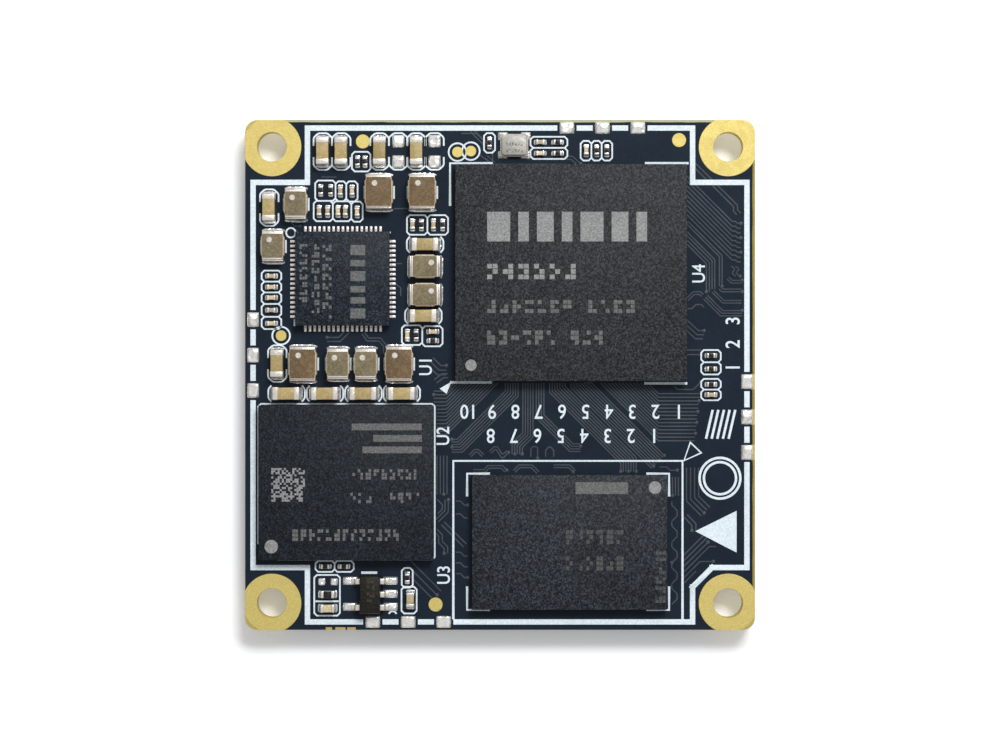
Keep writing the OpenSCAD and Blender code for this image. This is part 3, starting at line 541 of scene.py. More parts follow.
# What kin surfaces share, then each one's dark, light and fleck tones and what it has of its own
chipPlastic = {"grain": 7.2, "cells": 0.8, "rough": 0.6, "specular": 0.2, "bump": 0.4}
fired = {"grain": 6.0, "rough": 0.55, "specular": 0.35, "bump": 0.3}
glazed = {"grain": 5.0, "fleckShare": 0.1, "rough": 0.42, "specular": 0.4, "bump": 0.25}
coilMix = {"grain": 5.5, "fleckShare": 0.12, "rough": 0.62, "specular": 0.25, "bump": 0.4, "cloud": 0.9,
           "cloudDepth": 0.2}
lasered = {"grain": 7.0, "fleckShare": 0.2, "rough": 0.7, "specular": 0.2, "bump": 0.4}
mouldedLooks = {
    "whitePrint": {
        "tones": ((0.66, 0.755, 0.82), (0.80, 0.89, 0.94), (0.56, 0.66, 0.74)), "grain": 7.0,
        "fleckShare": 0.12, "rough": 0.6, "specular": 0.2, "bump": 0.3, "cloudDepth": 0.06},
    "processorMoulding": {
        **chipPlastic, "tones": ((0.0025, 0.0030, 0.0037), (0.064, 0.071, 0.079), (0.086, 0.090, 0.096)),
        "grain": 7.6, "fleckShare": 0.06, "rough": 0.64, "specular": 0.22, "cloudDepth": 0.1},
    "storageMoulding": {
        **chipPlastic, "tones": ((0.0006, 0.0010, 0.0020), (0.031, 0.041, 0.058), (0.058, 0.068, 0.082)),
        "grain": 7.6, "fleckShare": 0.05, "bump": 0.45, "cloudDepth": 0.12},
    "memoryMoulding": {
        **chipPlastic, "tones": ((0.0008, 0.0012, 0.0024), (0.058, 0.069, 0.090), (0.095, 0.104, 0.122)),
        "fleckShare": 0.08, "specular": 0.22, "cloud": 0.22, "cloudDepth": 0.3},
    "powerChipMoulding": {
        **chipPlastic, "tones": ((0.0006, 0.0012, 0.0026), (0.034, 0.048, 0.070), (0.085, 0.100, 0.118)),
        "fleckShare": 0.1, "rough": 0.58},
    "regulatorMoulding": {
        "tones": ((0.005, 0.004, 0.003), (0.017, 0.014, 0.010), (0.045, 0.038, 0.028)), "grain": 7.0,
        "fleckShare": 0.1, "rough": 0.5, "specular": 0.25, "bump": 0.4},
    "carrierLaminate": {
        "tones": ((0.010, 0.022, 0.016), (0.024, 0.045, 0.033), (0.05, 0.07, 0.055)), "grain": 5.0,
        "fleckShare": 0.1, "rough": 0.45, "specular": 0.35, "bump": 0.3},
    "crystalCeramic": {**fired, "tones": ((0.36, 0.33, 0.28), (0.50, 0.46, 0.40), (0.62, 0.58, 0.52))},
    "whiteAlumina": {
        **fired, "tones": ((0.60, 0.60, 0.57), (0.74, 0.74, 0.71), (0.5, 0.5, 0.48)), "bump": 0.25},
    "tanCeramic": {
        **glazed, "tones": ((0.37, 0.275, 0.112), (0.45, 0.35, 0.160), (0.55, 0.45, 0.24)), "grain": 4.5,
        "tone": 0.12, "cloudDepth": 0.1},
    "beigeCeramic": {
        **glazed, "tones": ((0.50, 0.40, 0.22), (0.62, 0.52, 0.33), (0.72, 0.62, 0.44)), "tone": 0.22},
    "resistorCoat": {
        "tones": ((0.004, 0.004, 0.005), (0.014, 0.014, 0.016), (0.04, 0.04, 0.045)), "grain": 8.0,
        "rough": 0.4, "specular": 0.3, "bump": 0.3},
    "largeCoilMoulding": {
        **coilMix, "tones": ((0.147, 0.095, 0.047), (0.208, 0.141, 0.075), (0.29, 0.215, 0.135))},
    "smallCoilMoulding": {
        **coilMix, "tones": ((0.180, 0.145, 0.082), (0.245, 0.205, 0.125), (0.35, 0.30, 0.20))},
    "coilRim": {
        "tones": ((0.46, 0.37, 0.26), (0.62, 0.52, 0.39), (0.72, 0.63, 0.50)), "grain": 6.0,
        "rough": 0.6, "specular": 0.25, "bump": 0.4},
    "coilDot": {
        "tones": ((0.52, 0.50, 0.46), (0.70, 0.68, 0.64), (0.42, 0.40, 0.36)), "grain": 6.0,
        "rough": 0.6, "specular": 0.25, "bump": 0.3},
    "laserMark": {**lasered, "tones": ((0.22, 0.225, 0.225), (0.34, 0.345, 0.34), (0.12, 0.12, 0.12))},
    "softLaserMark": {
        **lasered, "tones": ((0.105, 0.108, 0.108), (0.180, 0.184, 0.182), (0.07, 0.07, 0.07))},
    "faintLaserMark": {
        **lasered, "tones": ((0.055, 0.056, 0.058), (0.105, 0.104, 0.100), (0.04, 0.04, 0.04))},
    "regulatorMark": {
        **lasered, "tones": ((0.030, 0.026, 0.016), (0.070, 0.060, 0.036), (0.02, 0.018, 0.012)),
        "rough": 0.6},
    "lidMark": {
        **lasered, "tones": ((0.13, 0.125, 0.115), (0.21, 0.20, 0.185), (0.3, 0.29, 0.27)), "rough": 0.6,
        "bump": 0.3},
    "connectorPlastic": {
        "tones": ((0.010, 0.010, 0.011), (0.020, 0.020, 0.022), (0.04, 0.04, 0.042)), "grain": 6.0,
        "fleckShare": 0.06, "rough": 0.5, "specular": 0.4, "bump": 0.25},
}
for name, look in mouldedLooks.items():
    mouldedSurface(name, look)
print("stage: finishes made")


# Board, plating and printed border

boardLook = {"edge": 0.03, "platingEdge": 0.015, "printEdge": 0.01, "flat": 0.9}
boardMesh = toMesh("board", softened("circuit_board", boardLook["edge"], segments=1, angle=60))
for face in boardMesh.polygons:
    face.material_index = 0 if abs(face.normal.z) > boardLook["flat"] else 1
keepPiece("board", boardMesh, ["circuit_board"], ["navySolderMask", "cutLaminate"])
for name, node, slot, material, edge in (
        ("holePlating", "screw_hole_plating", "gold_plate", "goldPlate", "platingEdge"),
        ("goldSpots", "gold_spots", "gold_plate", "goldPlate", "platingEdge"),
        ("borderPrint", "printed_border", "white_print", "whitePrint", "printEdge")):
    keepSoft(name, node, material, boardLook[edge], segments=1, angle=60)

padLook = {"cells": 8, "square": 6, "lump": 0.5, "high": 0.95, "seed": 3}
for name, piece in (("edge_pads", "edgePads"), ("bare_lands", "bareLands")):
    pads = bmesh.new()
    for index, (low, high) in enumerate(islandBoxes(name)):
        span, middle = high - low, (low + high) / 2
        addPillow(pads, placeAt(middle.x, middle.y, 0, boardTop), span.x, span.y, span.z * padLook["high"],
                  padLook["cells"], padLook["square"], padLook["lump"], index + padLook["seed"])
    keepPiece(piece, toMesh(piece, pads), [name], ["padSolder"], sharp=80)
print("stage: board finished")


# Chips with balls underneath

chipLook = {
    "edge": 0.05, "carrierEdge": 0.02, "seed": 5,
    "ballSides": 10, "ballRings": ((0.39, 0.0), (0.5, 0.5), (0.39, 1.0)),
}


def ballTemplate(width, height):
    ball = bmesh.new()
    sides = chipLook["ballSides"]
    turns = [2 * math.pi * k / sides for k in range(sides)]
    loops = [[ball.verts.new((width * r * math.cos(a), width * r * math.sin(a), height * h)) for a in turns]
             for r, h in chipLook["ballRings"]]
    for lower, upper in zip(loops, loops[1:]):
        for k in range(sides):
            ball.faces.new((lower[k], lower[(k + 1) % sides], upper[(k + 1) % sides], upper[k]))
    ball.faces.new(list(reversed(loops[0])))
    ball.faces.new(loops[-1])
    return ball


for chip in ("processor", "storage", "memory"):
    keepSoft(chip + "Top", chip + "_moulding", chip + "Moulding", chipLook["edge"])
    keepSoft(chip + "Carrier", chip + "_carrier", "carrierLaminate",
             chipLook["carrierEdge"], segments=1)
    boxes = islandBoxes(chip + "_balls")
    span = boxes[0][1] - boxes[0][0]
    spots = [{"x": (a.x + b.x) / 2, "y": (a.y + b.y) / 2, "turn": 0.0} for a, b in boxes]
    balls = scatter(chip + "Balls", spots, ballTemplate(span.x, span.z), "meltedSolder", chipLook["seed"])
    keepPiece(chip + "Balls", balls, [chip + "_balls"], sharp=70)
print("stage: ball grid chips finished")


# Power chip

powerLook = {
    "edge": 0.04, "terminalEdge": 0.012, "heatPadEdge": 0.01, "film": 0.03, "padFrom": 1,
    "toeHigh": 0.22, "toeCells": 4, "toeSquare": 6,
}
keepSoft("powerChip", "power_chip_body", "powerChipMoulding", powerLook["edge"])
keepSoft("powerChipTerminals", "power_chip_terminals", "tinPlate",
         powerLook["terminalEdge"], segments=1)
keepSoft("powerChipHeatPad", "power_chip_heat_pad", "tinPlate",
         powerLook["heatPadEdge"], segments=1)
bodyLow, bodyHigh = boxInMm("power_chip_body")
bodyMiddle = (bodyLow + bodyHigh) / 2
toes = bmesh.new()
for low, high in islandBoxes("power_chip_solder"):
    span, middle = high - low, (low + high) / 2
    if min(span.x, span.y) > powerLook["padFrom"]:  # under the heat pad
        addBox(toes, low, high, 0)
        continue
    addBox(toes, low, (high.x, high.y, low.z + powerLook["film"]), 0)
    away = middle - bodyMiddle
    sideways = abs(away.x) > abs(away.y)
    inner = [bodyHigh[k] if away[k] > 0 else bodyLow[k] for k in (0, 1)]
    outer = [high[k] if away[k] > 0 else low[k] for k in (0, 1)]
    axis = 0 if sideways else 1
    length = abs(outer[axis] - inner[axis])
    spot = [middle.x, middle.y]
    spot[axis] = (outer[axis] + inner[axis]) / 2
    place = placeAt(spot[0], spot[1], 0.0 if sideways else quarter, low.z)
    addPillow(toes, place, length, min(span.x, span.y), span.z * powerLook["toeHigh"],
              powerLook["toeCells"], powerLook["toeSquare"])
keepPiece("powerChipSolder", toMesh("powerChipSolder", toes), ["power_chip_solder"],
          ["fineSolder"], 60)


# Crystal and regulator

smallLook = {"baseEdge": 0.05, "lidEdge": 0.03, "regulatorEdge": 0.04, "leadEdge": 0.03}
keepSoft("crystalBase", "crystal_base", "crystalCeramic", smallLook["baseEdge"])
keepSoft("crystalLid", "crystal_lid", "crystalLid", smallLook["lidEdge"])
keepSoft("regulator", "regulator_body", "regulatorMoulding",
         smallLook["regulatorEdge"], angle=20)
keepSoft("regulatorLeads", "regulator_leads", "tinPlate", smallLook["leadEdge"])


# Coils: the moulding's slanted rim is paler than its top, and the end metal covers its necks

coilLook = {
    "edge": 0.045, "largeFrom": 1.8, "largeNeck": 0.07, "smallNeck": 0.13, "plateEdge": 0.03, "sink": 0.003,
    "flat": 0.97, "dot": 0.22, "dotTaper": 0.94, "dotThick": 0.012, "dotSides": 20,
    "largeDot": (-0.3, 0.63), "smallDot": (-0.23, 0.46), "lyingDot": (0.48, 0.28),
}
coilBoxes = []
dots = bmesh.new()
for number in range(1, 11):
    node = f"coil_{number}_moulding"
    low, high = boxInMm(node)
    span, middle = high - low, (low + high) / 2
    large = min(span.x, span.y) > coilLook["largeFrom"]
    upright = span.y > span.x
    coilBoxes.append((middle, span, large, upright))
    body = softened(node, coilLook["edge"])
    top = high.z - coilLook["sink"]
    for vert in body.verts:
        vert.co.z = min(vert.co.z, top)
    lengthwise = Vector((0, 1, 0)) if upright else Vector((1, 0, 0))
    neckFrom = max(span.x, span.y) / 2 - coilLook["largeNeck" if large else "smallNeck"]
    for side in (-1, 1):
        bmesh.ops.bisect_plane(body, geom=body.verts[:] + body.edges[:] + body.faces[:], dist=weld,
                               plane_co=middle + lengthwise * side * neckFrom, plane_no=lengthwise)
    mesh = toMesh(f"coil{number}", body)
    for face in mesh.polygons:
        along = abs((face.center * 1000 - middle).dot(lengthwise))
        face.material_index = 2 if along > neckFrom else 0 if face.normal.z > coilLook["flat"] else 1
    keepPiece(f"coil{number}", mesh, [node],
              ["largeCoilMoulding" if large else "smallCoilMoulding", "coilRim", "tinPlate"])
    keepSoft(f"coil{number}Plates", f"coil_{number}_end_plates", "tinPlate",
             coilLook["plateEdge"])
    offset = coilLook["lyingDot" if not upright else "largeDot" if large else "smallDot"]
    lift = (coilLook["sink"] - coilLook["dotThick"]) / 2
    addCone(dots, coilLook["dot"], coilLook["dotTaper"], coilLook["dotThick"], coilLook["dotSides"],
            (middle.x + offset[0], middle.y + offset[1], top + lift))
keepPiece("coilDots", toMesh("coilDots", dots), (), ["coilDot"])
print("stage: coils finished")


# Chip capacitors and resistors, set by Geometry Nodes on the frame's own places

partLook = {
    "film": 0.04, "skin": 0.03, "round": 0.06, "roundFrom": 0.6, "brickRound": 0.6,
    "resistorRound": 0.035, "plateRound": 0.02, "coatInset": 0.01, "coatPast": 0.9,
    "capShare": {"large": 0.21, "medium": 0.22, "small": 0.26, "resistor": 0.22},
    "toe": {"large": 0.19, "medium": 0.2, "small": 0.16},
    "wet": 0.4, "foot": 0.2, "overlap": 0.02, "largeFrom": 1.3, "mediumFrom": 0.75,
    "turn": {"large": 0.012, "medium": 0.03, "small": 0.03},
    "capSeed": 11, "capSolderSeed": 31, "resistorSeed": 51, "resistorSolderSeed": 61,
}


def sizeClass(length):
    if length > partLook["largeFrom"]:
        return "large"
    return "medium" if length > partLook["mediumFrom"] else "small"


def endCups(length, width, height, share, radius, segments):
    cups = bmesh.new()
    film = partLook["film"]
    for side in (-1, 1):
        ends = sorted((side * length / 2, side * (length / 2 - share * length)))
        addBox(cups, (ends[0], -width / 2, film), (ends[1], width / 2, film + height), radius, segments)
    return cups


def capTemplates(length, width, height, share):
    film, skin = partLook["film"], partLook["skin"]
    soft = partLook["round"] * min(1.0, width / partLook["roundFrom"])
    brick = bmesh.new()
    addBox(brick, (-length / 2 + skin, -width / 2 + skin, film + skin),
           (length / 2 - skin, width / 2 - skin, film + height - skin), soft * partLook["brickRound"])
    return brick, endCups(length, width, height, share, soft, 3)


def resistorTemplates(length, width, height, share):
    film, skin = partLook["film"], partLook["skin"]
    plate, coat = bmesh.new(), bmesh.new()
    addBox(plate, (-length / 2 + skin, -width / 2, film + skin),
           (length / 2 - skin, width / 2, film + height - skin), partLook["plateRound"])
    reach = length / 2 - share * length * partLook["coatPast"]
    half = width / 2 - partLook["coatInset"]
    addBox(coat, (-reach, -half, film + height - 2 * skin), (reach, half, film + height),
           partLook["plateRound"])
    return plate, coat, endCups(length, width, height, share, partLook["resistorRound"], 2)


def solderTemplate(length, width, height, toe):
    bm = bmesh.new()
    rise, lap = partLook["film"] + partLook["wet"] * height, partLook["overlap"]
    foot = length * partLook["foot"]
    for turn in (0.0, math.pi):
        spin = Matrix.Rotation(turn, 4, "Z")
        addFillet(bm, spin @ Matrix.Translation((length / 2 - lap, 0, 0)), toe + lap, width, rise)
        low, high = sorted((math.cos(turn) * (length / 2 - foot), math.cos(turn) * (length / 2 - lap)))
        addBox(bm, (low, -width / 2, 0), (high, width / 2, partLook["film"]), 0)
    return bm


def chipSpots(node):
    spots = []
    for low, high in islandBoxes(node):
        span, middle = high - low, (low + high) / 2
        spots.append({"x": middle.x, "y": middle.y, "turn": quarter if span.y > span.x else 0.0,
                      "length": max(span.x, span.y), "width": min(span.x, span.y), "height": span.z})
    return spots


def bySize(spots):
    groups = {}
    for spot in spots:
        groups.setdefault(sizeClass(spot["length"]), []).append(spot)
    return groups


solderMeshes = []
capSpots = chipSpots("capacitor_ceramics")
smallCapSpots = chipSpots("small_capacitor_ceramics")
resistorSpots = chipSpots("resistor_plates")
coating = 2 * partLook["skin"]
chipPieces = {  # piece: slot, frame node, meshes
    "capacitorBricks": ("tan_ceramic", "capacitor_ceramics", []),
    "capacitorEndCaps": ("tin_plate", "capacitor_end_caps", []),
    "smallCapacitorBricks": ("beige_ceramic", "small_capacitor_ceramics", []),
    "smallCapacitorEndCaps": ("tin_plate", "small_capacitor_end_caps", []),
    "resistorPlates": ("white_alumina", "resistor_plates", []),
    "resistorCoats": ("resistor_coat", "resistor_coats", []),
    "resistorEndCaps": ("tin_plate", "resistor_end_caps", []),
}
for index, (kind, spots) in enumerate(bySize(capSpots + smallCapSpots).items()):
    size = [spots[0][k] + coating for k in ("length", "width", "height")]
    brick, cups = capTemplates(*size, partLook["capShare"][kind])
    family, ceramic = ("capacitor", "tanCeramic") if kind == "large" else ("smallCapacitor", "beigeCeramic")
    for label, template, material in (("Bricks", brick, ceramic), ("EndCaps", cups, "tinPlate")):
        copies = scatter(kind + label, spots, template, material, partLook["capSeed"] + index,
                         partLook["turn"][kind])
        chipPieces[family + label][2].append(copies)
    fillets = solderTemplate(*size, partLook["toe"][kind])
    seed = partLook["capSolderSeed"] + index
    solderMeshes.append(scatter(kind + "CapSolder", spots, fillets, "meltedSolder", seed))
for index, (kind, spots) in enumerate(bySize(resistorSpots).items()):
    size = [spots[0]["length"] + coating, spots[0]["width"], spots[0]["height"] + coating]
    templates = resistorTemplates(*size, partLook["capShare"]["resistor"])
    finishes = {"Plates": "whiteAlumina", "Coats": "resistorCoat", "EndCaps": "tinPlate"}
    for template, (label, material) in zip(templates, finishes.items()):
        copies = scatter(kind + label, spots, template, material, partLook["resistorSeed"] + index,
                         partLook["turn"][kind])
        chipPieces["resistor" + label][2].append(copies)
    fillets = solderTemplate(*size, partLook["toe"][kind])
    seed = partLook["resistorSolderSeed"] + index
    solderMeshes.append(scatter(kind + "ResistorSolder", spots, fillets, "meltedSolder", seed))
for name, (slot, node, meshes) in chipPieces.items():
    keepPiece(name, joined(name, meshes), [node])

# Solder of the coils, the crystal and the regulator's feet
jointLook = {
    "coilPast": 0.2, "coilToe": 0.22, "coilRise": 0.3, "coilSide": 0.03, "coilFlare": 0.04,
    "land": (0.75, 0.62, 0.1), "landIn": (0.2, 0.15),
    "footReach": 1.25, "footBack": 0.15, "footWide": 0.2, "footHigh": 0.15, "footLump": 0.4,
}
joints = bmesh.new()
for middle, span, large, upright in coilBoxes:
    length = max(span.x, span.y) + jointLook["coilPast"]
    width = min(span.x, span.y) - 2 * jointLook["coilSide"]
    for side in (0, 1):
        turn = (quarter if upright else 0.0) + side * math.pi
        place = placeAt(middle.x, middle.y, turn, boardTop)
        place = place @ Matrix.Translation((length / 2 - partLook["overlap"], 0, 0))
        addFillet(joints, place, jointLook["coilToe"], width, jointLook["coilRise"], jointLook["coilFlare"],
                  steps=4, across=8)
low, high = boxInMm("crystal_base")
inX, inY = jointLook["landIn"]
for x in (low.x + inX, high.x - inX):
    for y in (low.y + inY, high.y - inY):
        addPillow(joints, placeAt(x, y, 0, boardTop), *jointLook["land"], power=6)
regLow, regHigh = boxInMm("regulator_body")
regMiddle = (regLow + regHigh) / 2
for index, (low, high) in enumerate(islandBoxes("regulator_leads")):
    side = 1 if (low.x + high.x) / 2 > regMiddle.x else -1
    start = regHigh.x if side > 0 else regLow.x
    length = jointLook["footReach"] - jointLook["footBack"]
    x = start + side * (jointLook["footBack"] + length / 2)
    width = high.y - low.y + jointLook["footWide"]
    addPillow(joints, placeAt(x, (low.y + high.y) / 2, 0, boardTop), length, width, jointLook["footHigh"],
              cells=8, lump=jointLook["footLump"], seed=index)
solderMeshes.insert(0, toMesh("jointMesh", joints))
solderMeshes[0].materials.append(finish["meltedSolder"])
keepPiece("solderJoints", joined("solderJoints", solderMeshes), ["solder_joints"], sharp=70)
print("stage: chip parts and solder finished")


# Connectors underneath

connectorLook = {"edge": 0.04}
for side in ("rear", "right", "front", "left"):
    keepSoft("housing." + side, "connector_housing_" + side, "connectorPlastic",
             connectorLook["edge"])
    contacts = nodes["connector_contacts_" + side].data
    contacts.materials.clear()
    contacts.materials.append(finish["goldPlate"])
print("stage: connectors finished")


# Geometry Nodes: flat strips that follow drawn lines, with cut or rounded bends

def makeStrips():
    tree, given, result = newTree("flatStrips", "GeometryNodeTree", {
        "Geometry": "Geometry", "Width": 0.00015, "Thickness": 0.00002, "Bend": 0.0001, "Bend Steps": 1,
        "Material": "Material",
    }, "Geometry", ("Geometry",))
    bent = put(tree, "GeometryNodeFilletCurve", {
        "Curve": given["Geometry"], "Radius": given["Bend"], "Limit Radius": True,
        "Count": given["Bend Steps"],
    }, mode="POLY").outputs[0]
    level = put(tree, "GeometryNodeSetCurveNormal", {"Curve": bent}, mode="Z_UP").outputs[0]
    profile = put(tree, "GeometryNodeCurvePrimitiveQuadrilateral", {
        "Width": given["Width"], "Height": given["Thickness"]}).outputs["Curve"]
    strip = put(tree, "GeometryNodeCurveToMesh", {
        "Curve": level, "Profile Curve": profile, "Fill Caps": True}).outputs[0]
    real = put(tree, "GeometryNodeRealizeInstances", {"Geometry": strip}).outputs[0]
    done = put(tree, "GeometryNodeSetMaterial", {"Geometry": real, "Material": given["Material"]}).outputs[0]
    feed(tree, result, {"Geometry": done})
    return tree


stripTree = makeStrips()


# Lines in turn lie on levels a hair apart, so crossings never share a face
levelStep, levelCount = 0.0015, 6


def strips(name, lines, width, thickness, bend, material, steps=1):
    curve = bpy.data.curves.new(name + "Lines", "CURVE")
    curve.dimensions = "3D"
    for index, (points, closed) in enumerate(lines):
        lift = boardTop + thickness / 2 + levelStep * (index % levelCount)
        spline = curve.splines.new("POLY")
        spline.points.add(len(points) - 1)
        for point, (x, y) in zip(spline.points, points):
            point.co = (x * 0.001, y * 0.001, lift * 0.001, 1)
        spline.use_cyclic_u = closed
    return evaluated(name, curve, stripTree, {
        "Width": width * 0.001, "Thickness": thickness * 0.001, "Bend": bend * 0.001, "Bend Steps": steps,
        "Material": finish[material]})


def openLine(*points):
    return list(points), False


def boxLine(left, right, low, high):
    return [(left, low), (right, low), (right, high), (left, high)], True


def arcLine(x, y, radius, start=0.0, sweep=360.0, steps=16):
    whole = sweep >= 360
    count = steps if whole else steps + 1
    points = [(x + radius * math.cos(math.radians(start + sweep * k / steps)),
               y + radius * math.sin(math.radians(start + sweep * k / steps))) for k in range(count)]
    return points, whole


def turned(points, x, y, upright):
    return [(x - v, y + u) if upright else (x + u, y + v) for u, v in points]


# Copper tracks under the mask: each bus is a line, how many tracks it has and how far apart they lie,
# or the step by which the line, or each of its points, moves from one track to the next
trackLook = {"width": 0.09, "thickness": 0.012, "bend": 0.12, "steps": 3, "sharpest": 0.4}
viaLook = {"radius": 0.13, "taper": 0.7, "height": 0.02, "sides": 12, "every": 3, "seed": 7}
buses = [
    # right of the processor
    ([(13.8, 14.95), (17.3, 11.45), (17.55, 11.45), (17.7, 11.3), (17.95, 11.3)], 9, (0, -0.36)),
    ([(14.25, 15.7), (17.4, 12.55), (17.4, 12.2), (17.65, 11.95)], 2, (0.3, 0.1)),
    ([(17.25, 8.1), (17.55, 7.9), (17.25, 7.6), (17.6, 7.35)], 2, (0.3, 0)),
    ([(13.87, 11.4), (14.05, 11.4), (16.55, 8.9), (16.55, 6.6)], 2, 0.2),
    ([(13.87, 10.74), (16.0, 8.6), (16.0, 6.4)], 2, 0.2),
    ([(13.87, 10.12), (15.6, 8.38), (15.6, 6.2)], 2, 0.22),
    ([(15.45, 5.95), (16.6, 4.8), (18.05, 4.8)], 3, 0.2),
    ([(15.93, 6.3), (16.68, 5.55), (18.0, 5.55)], 2, 0.19),
    ([(16.45, 6.55), (16.6, 6.4), (18.05, 6.4)], 2, 0.2),
    ([(17.05, 7.3), (17.3, 7.05), (18.05, 7.05)], 2, 0.2),
    ([(13.87, 5.7), (14.4, 6.2), (14.95, 6.2), (15.15, 6.0)], 2, 0.2),
    ([(13.87, 4.95), (14.3, 4.95), (14.6, 5.25), (15.0, 5.25), (15.2, 5.05)], 1, 0.2),
    ([(13.87, 4.15), (14.8, 3.3), (15.2, 3.3)], 2, 0.3),
    ([(13.87, 3.35), (14.55, 2.7), (15.1, 2.7)], 1, 0.3),
    ([(13.87, 1.86), (15.0, 1.86)], 2, 0.34),
    # below the processor
    ([(13.0, -0.8), (13.2, -1.08), (14.4, -1.08), (15.0, -0.5)], 1, 0.2),
    ([(7.5, -0.6), (11.8, -4.9), (14.5, -4.9)], 14, [(0.27, 0), (0, 0.27), (0.03, 0.27)]),
    ([(5.3, -0.6), (5.3, -0.95), (11.3, -6.95)], 8, -0.19),
    ([(3.7, -0.6), (3.7, -1.3), (9.0, -6.6), (9.0, -7.2)], 7, -0.19),
    ([(2.7, -0.6), (2.7, -3.2), (5.2, -5.7), (6.0, -5.7)], 4, -0.19),
    ([(1.7, -0.6), (1.7, -4.3), (0.9, -5.1), (0.9, -5.9)], 5, -0.19),
    ([(2.3, -6.1), (2.3, -5.5), (2.5, -5.3), (2.8, -5.4), (2.8, -6.2)], 1, 0.28),
    ([(3.4, -6.1), (3.4, -5.6), (3.7, -5.3), (4.0, -5.6), (4.0, -6.1)], 1, 0.28),
    # between the processor, the storage chip and the memory chip
    ([(-3.4, -0.6), (-4.0, -1.2), (-4.95, -1.2)], 13, [(0.27, 0), (0, -0.27), (0, -0.27)]),
    ([(0.4, -0.6), (0.4, -1.2), (-3.2, -4.8), (-3.6, -4.8)], 6, -0.19),
    ([(-2.3, -5.95), (-1.9, -5.55), (-1.6, -5.55), (-1.2, -5.95)], 2, 0.19),
    ([(-0.8, -5.7), (-0.45, -5.35), (-0.2, -5.35), (0.2, -5.95), (0.5, -5.65)], 2, 0.19),
    ([(-2.0, -7.05), (-1.2, -7.05), (-0.9, -6.75), (0.2, -6.75), (0.5, -7.1)], 2, 0.2),
    ([(1.0, -7.1), (1.4, -6.7), (2.4, -6.7), (2.9, -7.2)], 2, 0.2),
    ([(4.0, -6.7), (5.2, -6.7), (5.6, -7.1)], 2, 0.2),
    ([(11.9, -6.85), (12.4, -6.85), (12.7, -7.1), (13.2, -7.1)], 1, 0.28),
    # beside the memory chip and the storage chip
    ([(-4.7, -6.0), (-4.7, -8.9)], 4, -0.25),
    ([(-4.7, -9.25), (-4.3, -9.65), (-4.3, -10.0), (-4.65, -10.35)], 1, 0.25),
    ([(-4.6, -10.95), (-3.85, -10.2), (-3.85, -9.3)], 2, -0.25),
    ([(-4.15, -10.95), (-2.5, -12.6)], 2, 0.3),
    ([(-4.7, -11.5), (-4.3, -11.9), (-4.3, -12.4), (-3.9, -12.8), (-3.9, -13.3)], 2, 0.27),
    ([(-3.3, -9.4), (-2.95, -9.4), (-2.65, -9.7), (-2.4, -9.7)], 2, (0, -0.95)),
    ([(-3.3, -13.2), (-2.95, -13.2), (-2.65, -13.5), (-2.4, -13.5)], 3, (0, -0.8)),
    ([(-6.6, -13.9), (-4.4, -16.1)], 3, 0.42),
    ([(12.85, -7.6), (12.85, -9.0)], 3, -0.22),
    ([(12.8, -9.4), (12.8, -9.7), (13.2, -10.1), (13.2, -10.5), (12.8, -10.9)], 5, (0, -1.55)),
    ([(13.9, -6.9), (13.9, -9.4), (15.0, -10.5)], 4, -0.3),
    ([(13.72, -10.6), (14.3, -11.2), (14.3, -11.6)], 2, -0.3),
    ([(13.72, -13.4), (15.5, -11.62)], 3, (0, -0.42)),
    ([(13.72, -14.66), (15.6, -12.78), (16.1, -12.78)], 1, 0.3),
    ([(13.72, -15.08), (14.9, -13.9), (15.9, -13.9)], 1, 0.3),
    ([(13.72, -15.5), (14.6, -14.62)], 1, 0.3),
    # round the power chip and the clock
    ([(-11.2, 3.2), (-11.9, 2.5), (-12.9, 2.5)], 2, 0.3),
    ([(-10.1, 3.2), (-9.8, 2.75), (-8.9, 2.75), (-8.45, 2.2), (-8.45, 1.6)], 2, 0.22),
    ([(-7.9, 8.3), (-7.3, 8.3)], 1, 0.3),
    ([(-7.9, 6.9), (-7.4, 6.5), (-7.4, 5.9)], 1, 0.3),
    ([(-15.9, 11.7), (-15.3, 11.1), (-14.9, 11.1)], 1, 0.3),
    ([(-13.3, 14.75), (-12.2, 14.75)], 1, 0.3),
    ([(-7.9, 12.4), (-6.6, 12.4)], 1, 0.3),
    ([(-5.0, 1.3), (-4.4, 0.7), (-4.0, 0.7)], 3, 0.34),
    ([(-4.9, -0.35), (-4.3, 0.1), (-3.9, 0.1)], 2, 0.3),
    ([(-2.9, 18.0), (-1.75, 18.0), (-0.55, 16.8), (-0.55, 15.9)], 1, 0.3),
    ([(-2.0, 18.3), (-1.0, 17.3)], 2, 0.26),
    ([(-1.5, 16.4), (-0.6, 15.7), (4.9, 15.7)], 1, 0.3),
    ([(-0.95, 16.35), (-0.4, 15.85)], 2, 0.24),
    ([(4.95, 16.3), (5.4, 16.3), (6.0, 15.75)], 2, 0.24),
]


def offsetPath(path, shift):
    sides = []
    for (ax, ay), (bx, by) in zip(path, path[1:]):
        run = math.hypot(bx - ax, by - ay)
        sides.append(Vector(((by - ay) / run, (ax - bx) / run)))
    moved = []
    for k, (x, y) in enumerate(path):
        first, second = sides[max(k - 1, 0)], sides[min(k, len(sides) - 1)]
        mitre = (first + second) / max(trackLook["sharpest"], 1 + first.dot(second))
        moved.append((x + shift * mitre.x, y + shift * mitre.y))
    return moved


def busPath(path, apart, k):
    if isinstance(apart, float):
        return offsetPath(path, k * apart)
    steps = apart if isinstance(apart, list) else [apart] * len(path)
    return [(x + k * dx, y + k * dy) for (x, y), (dx, dy) in zip(path, steps)]


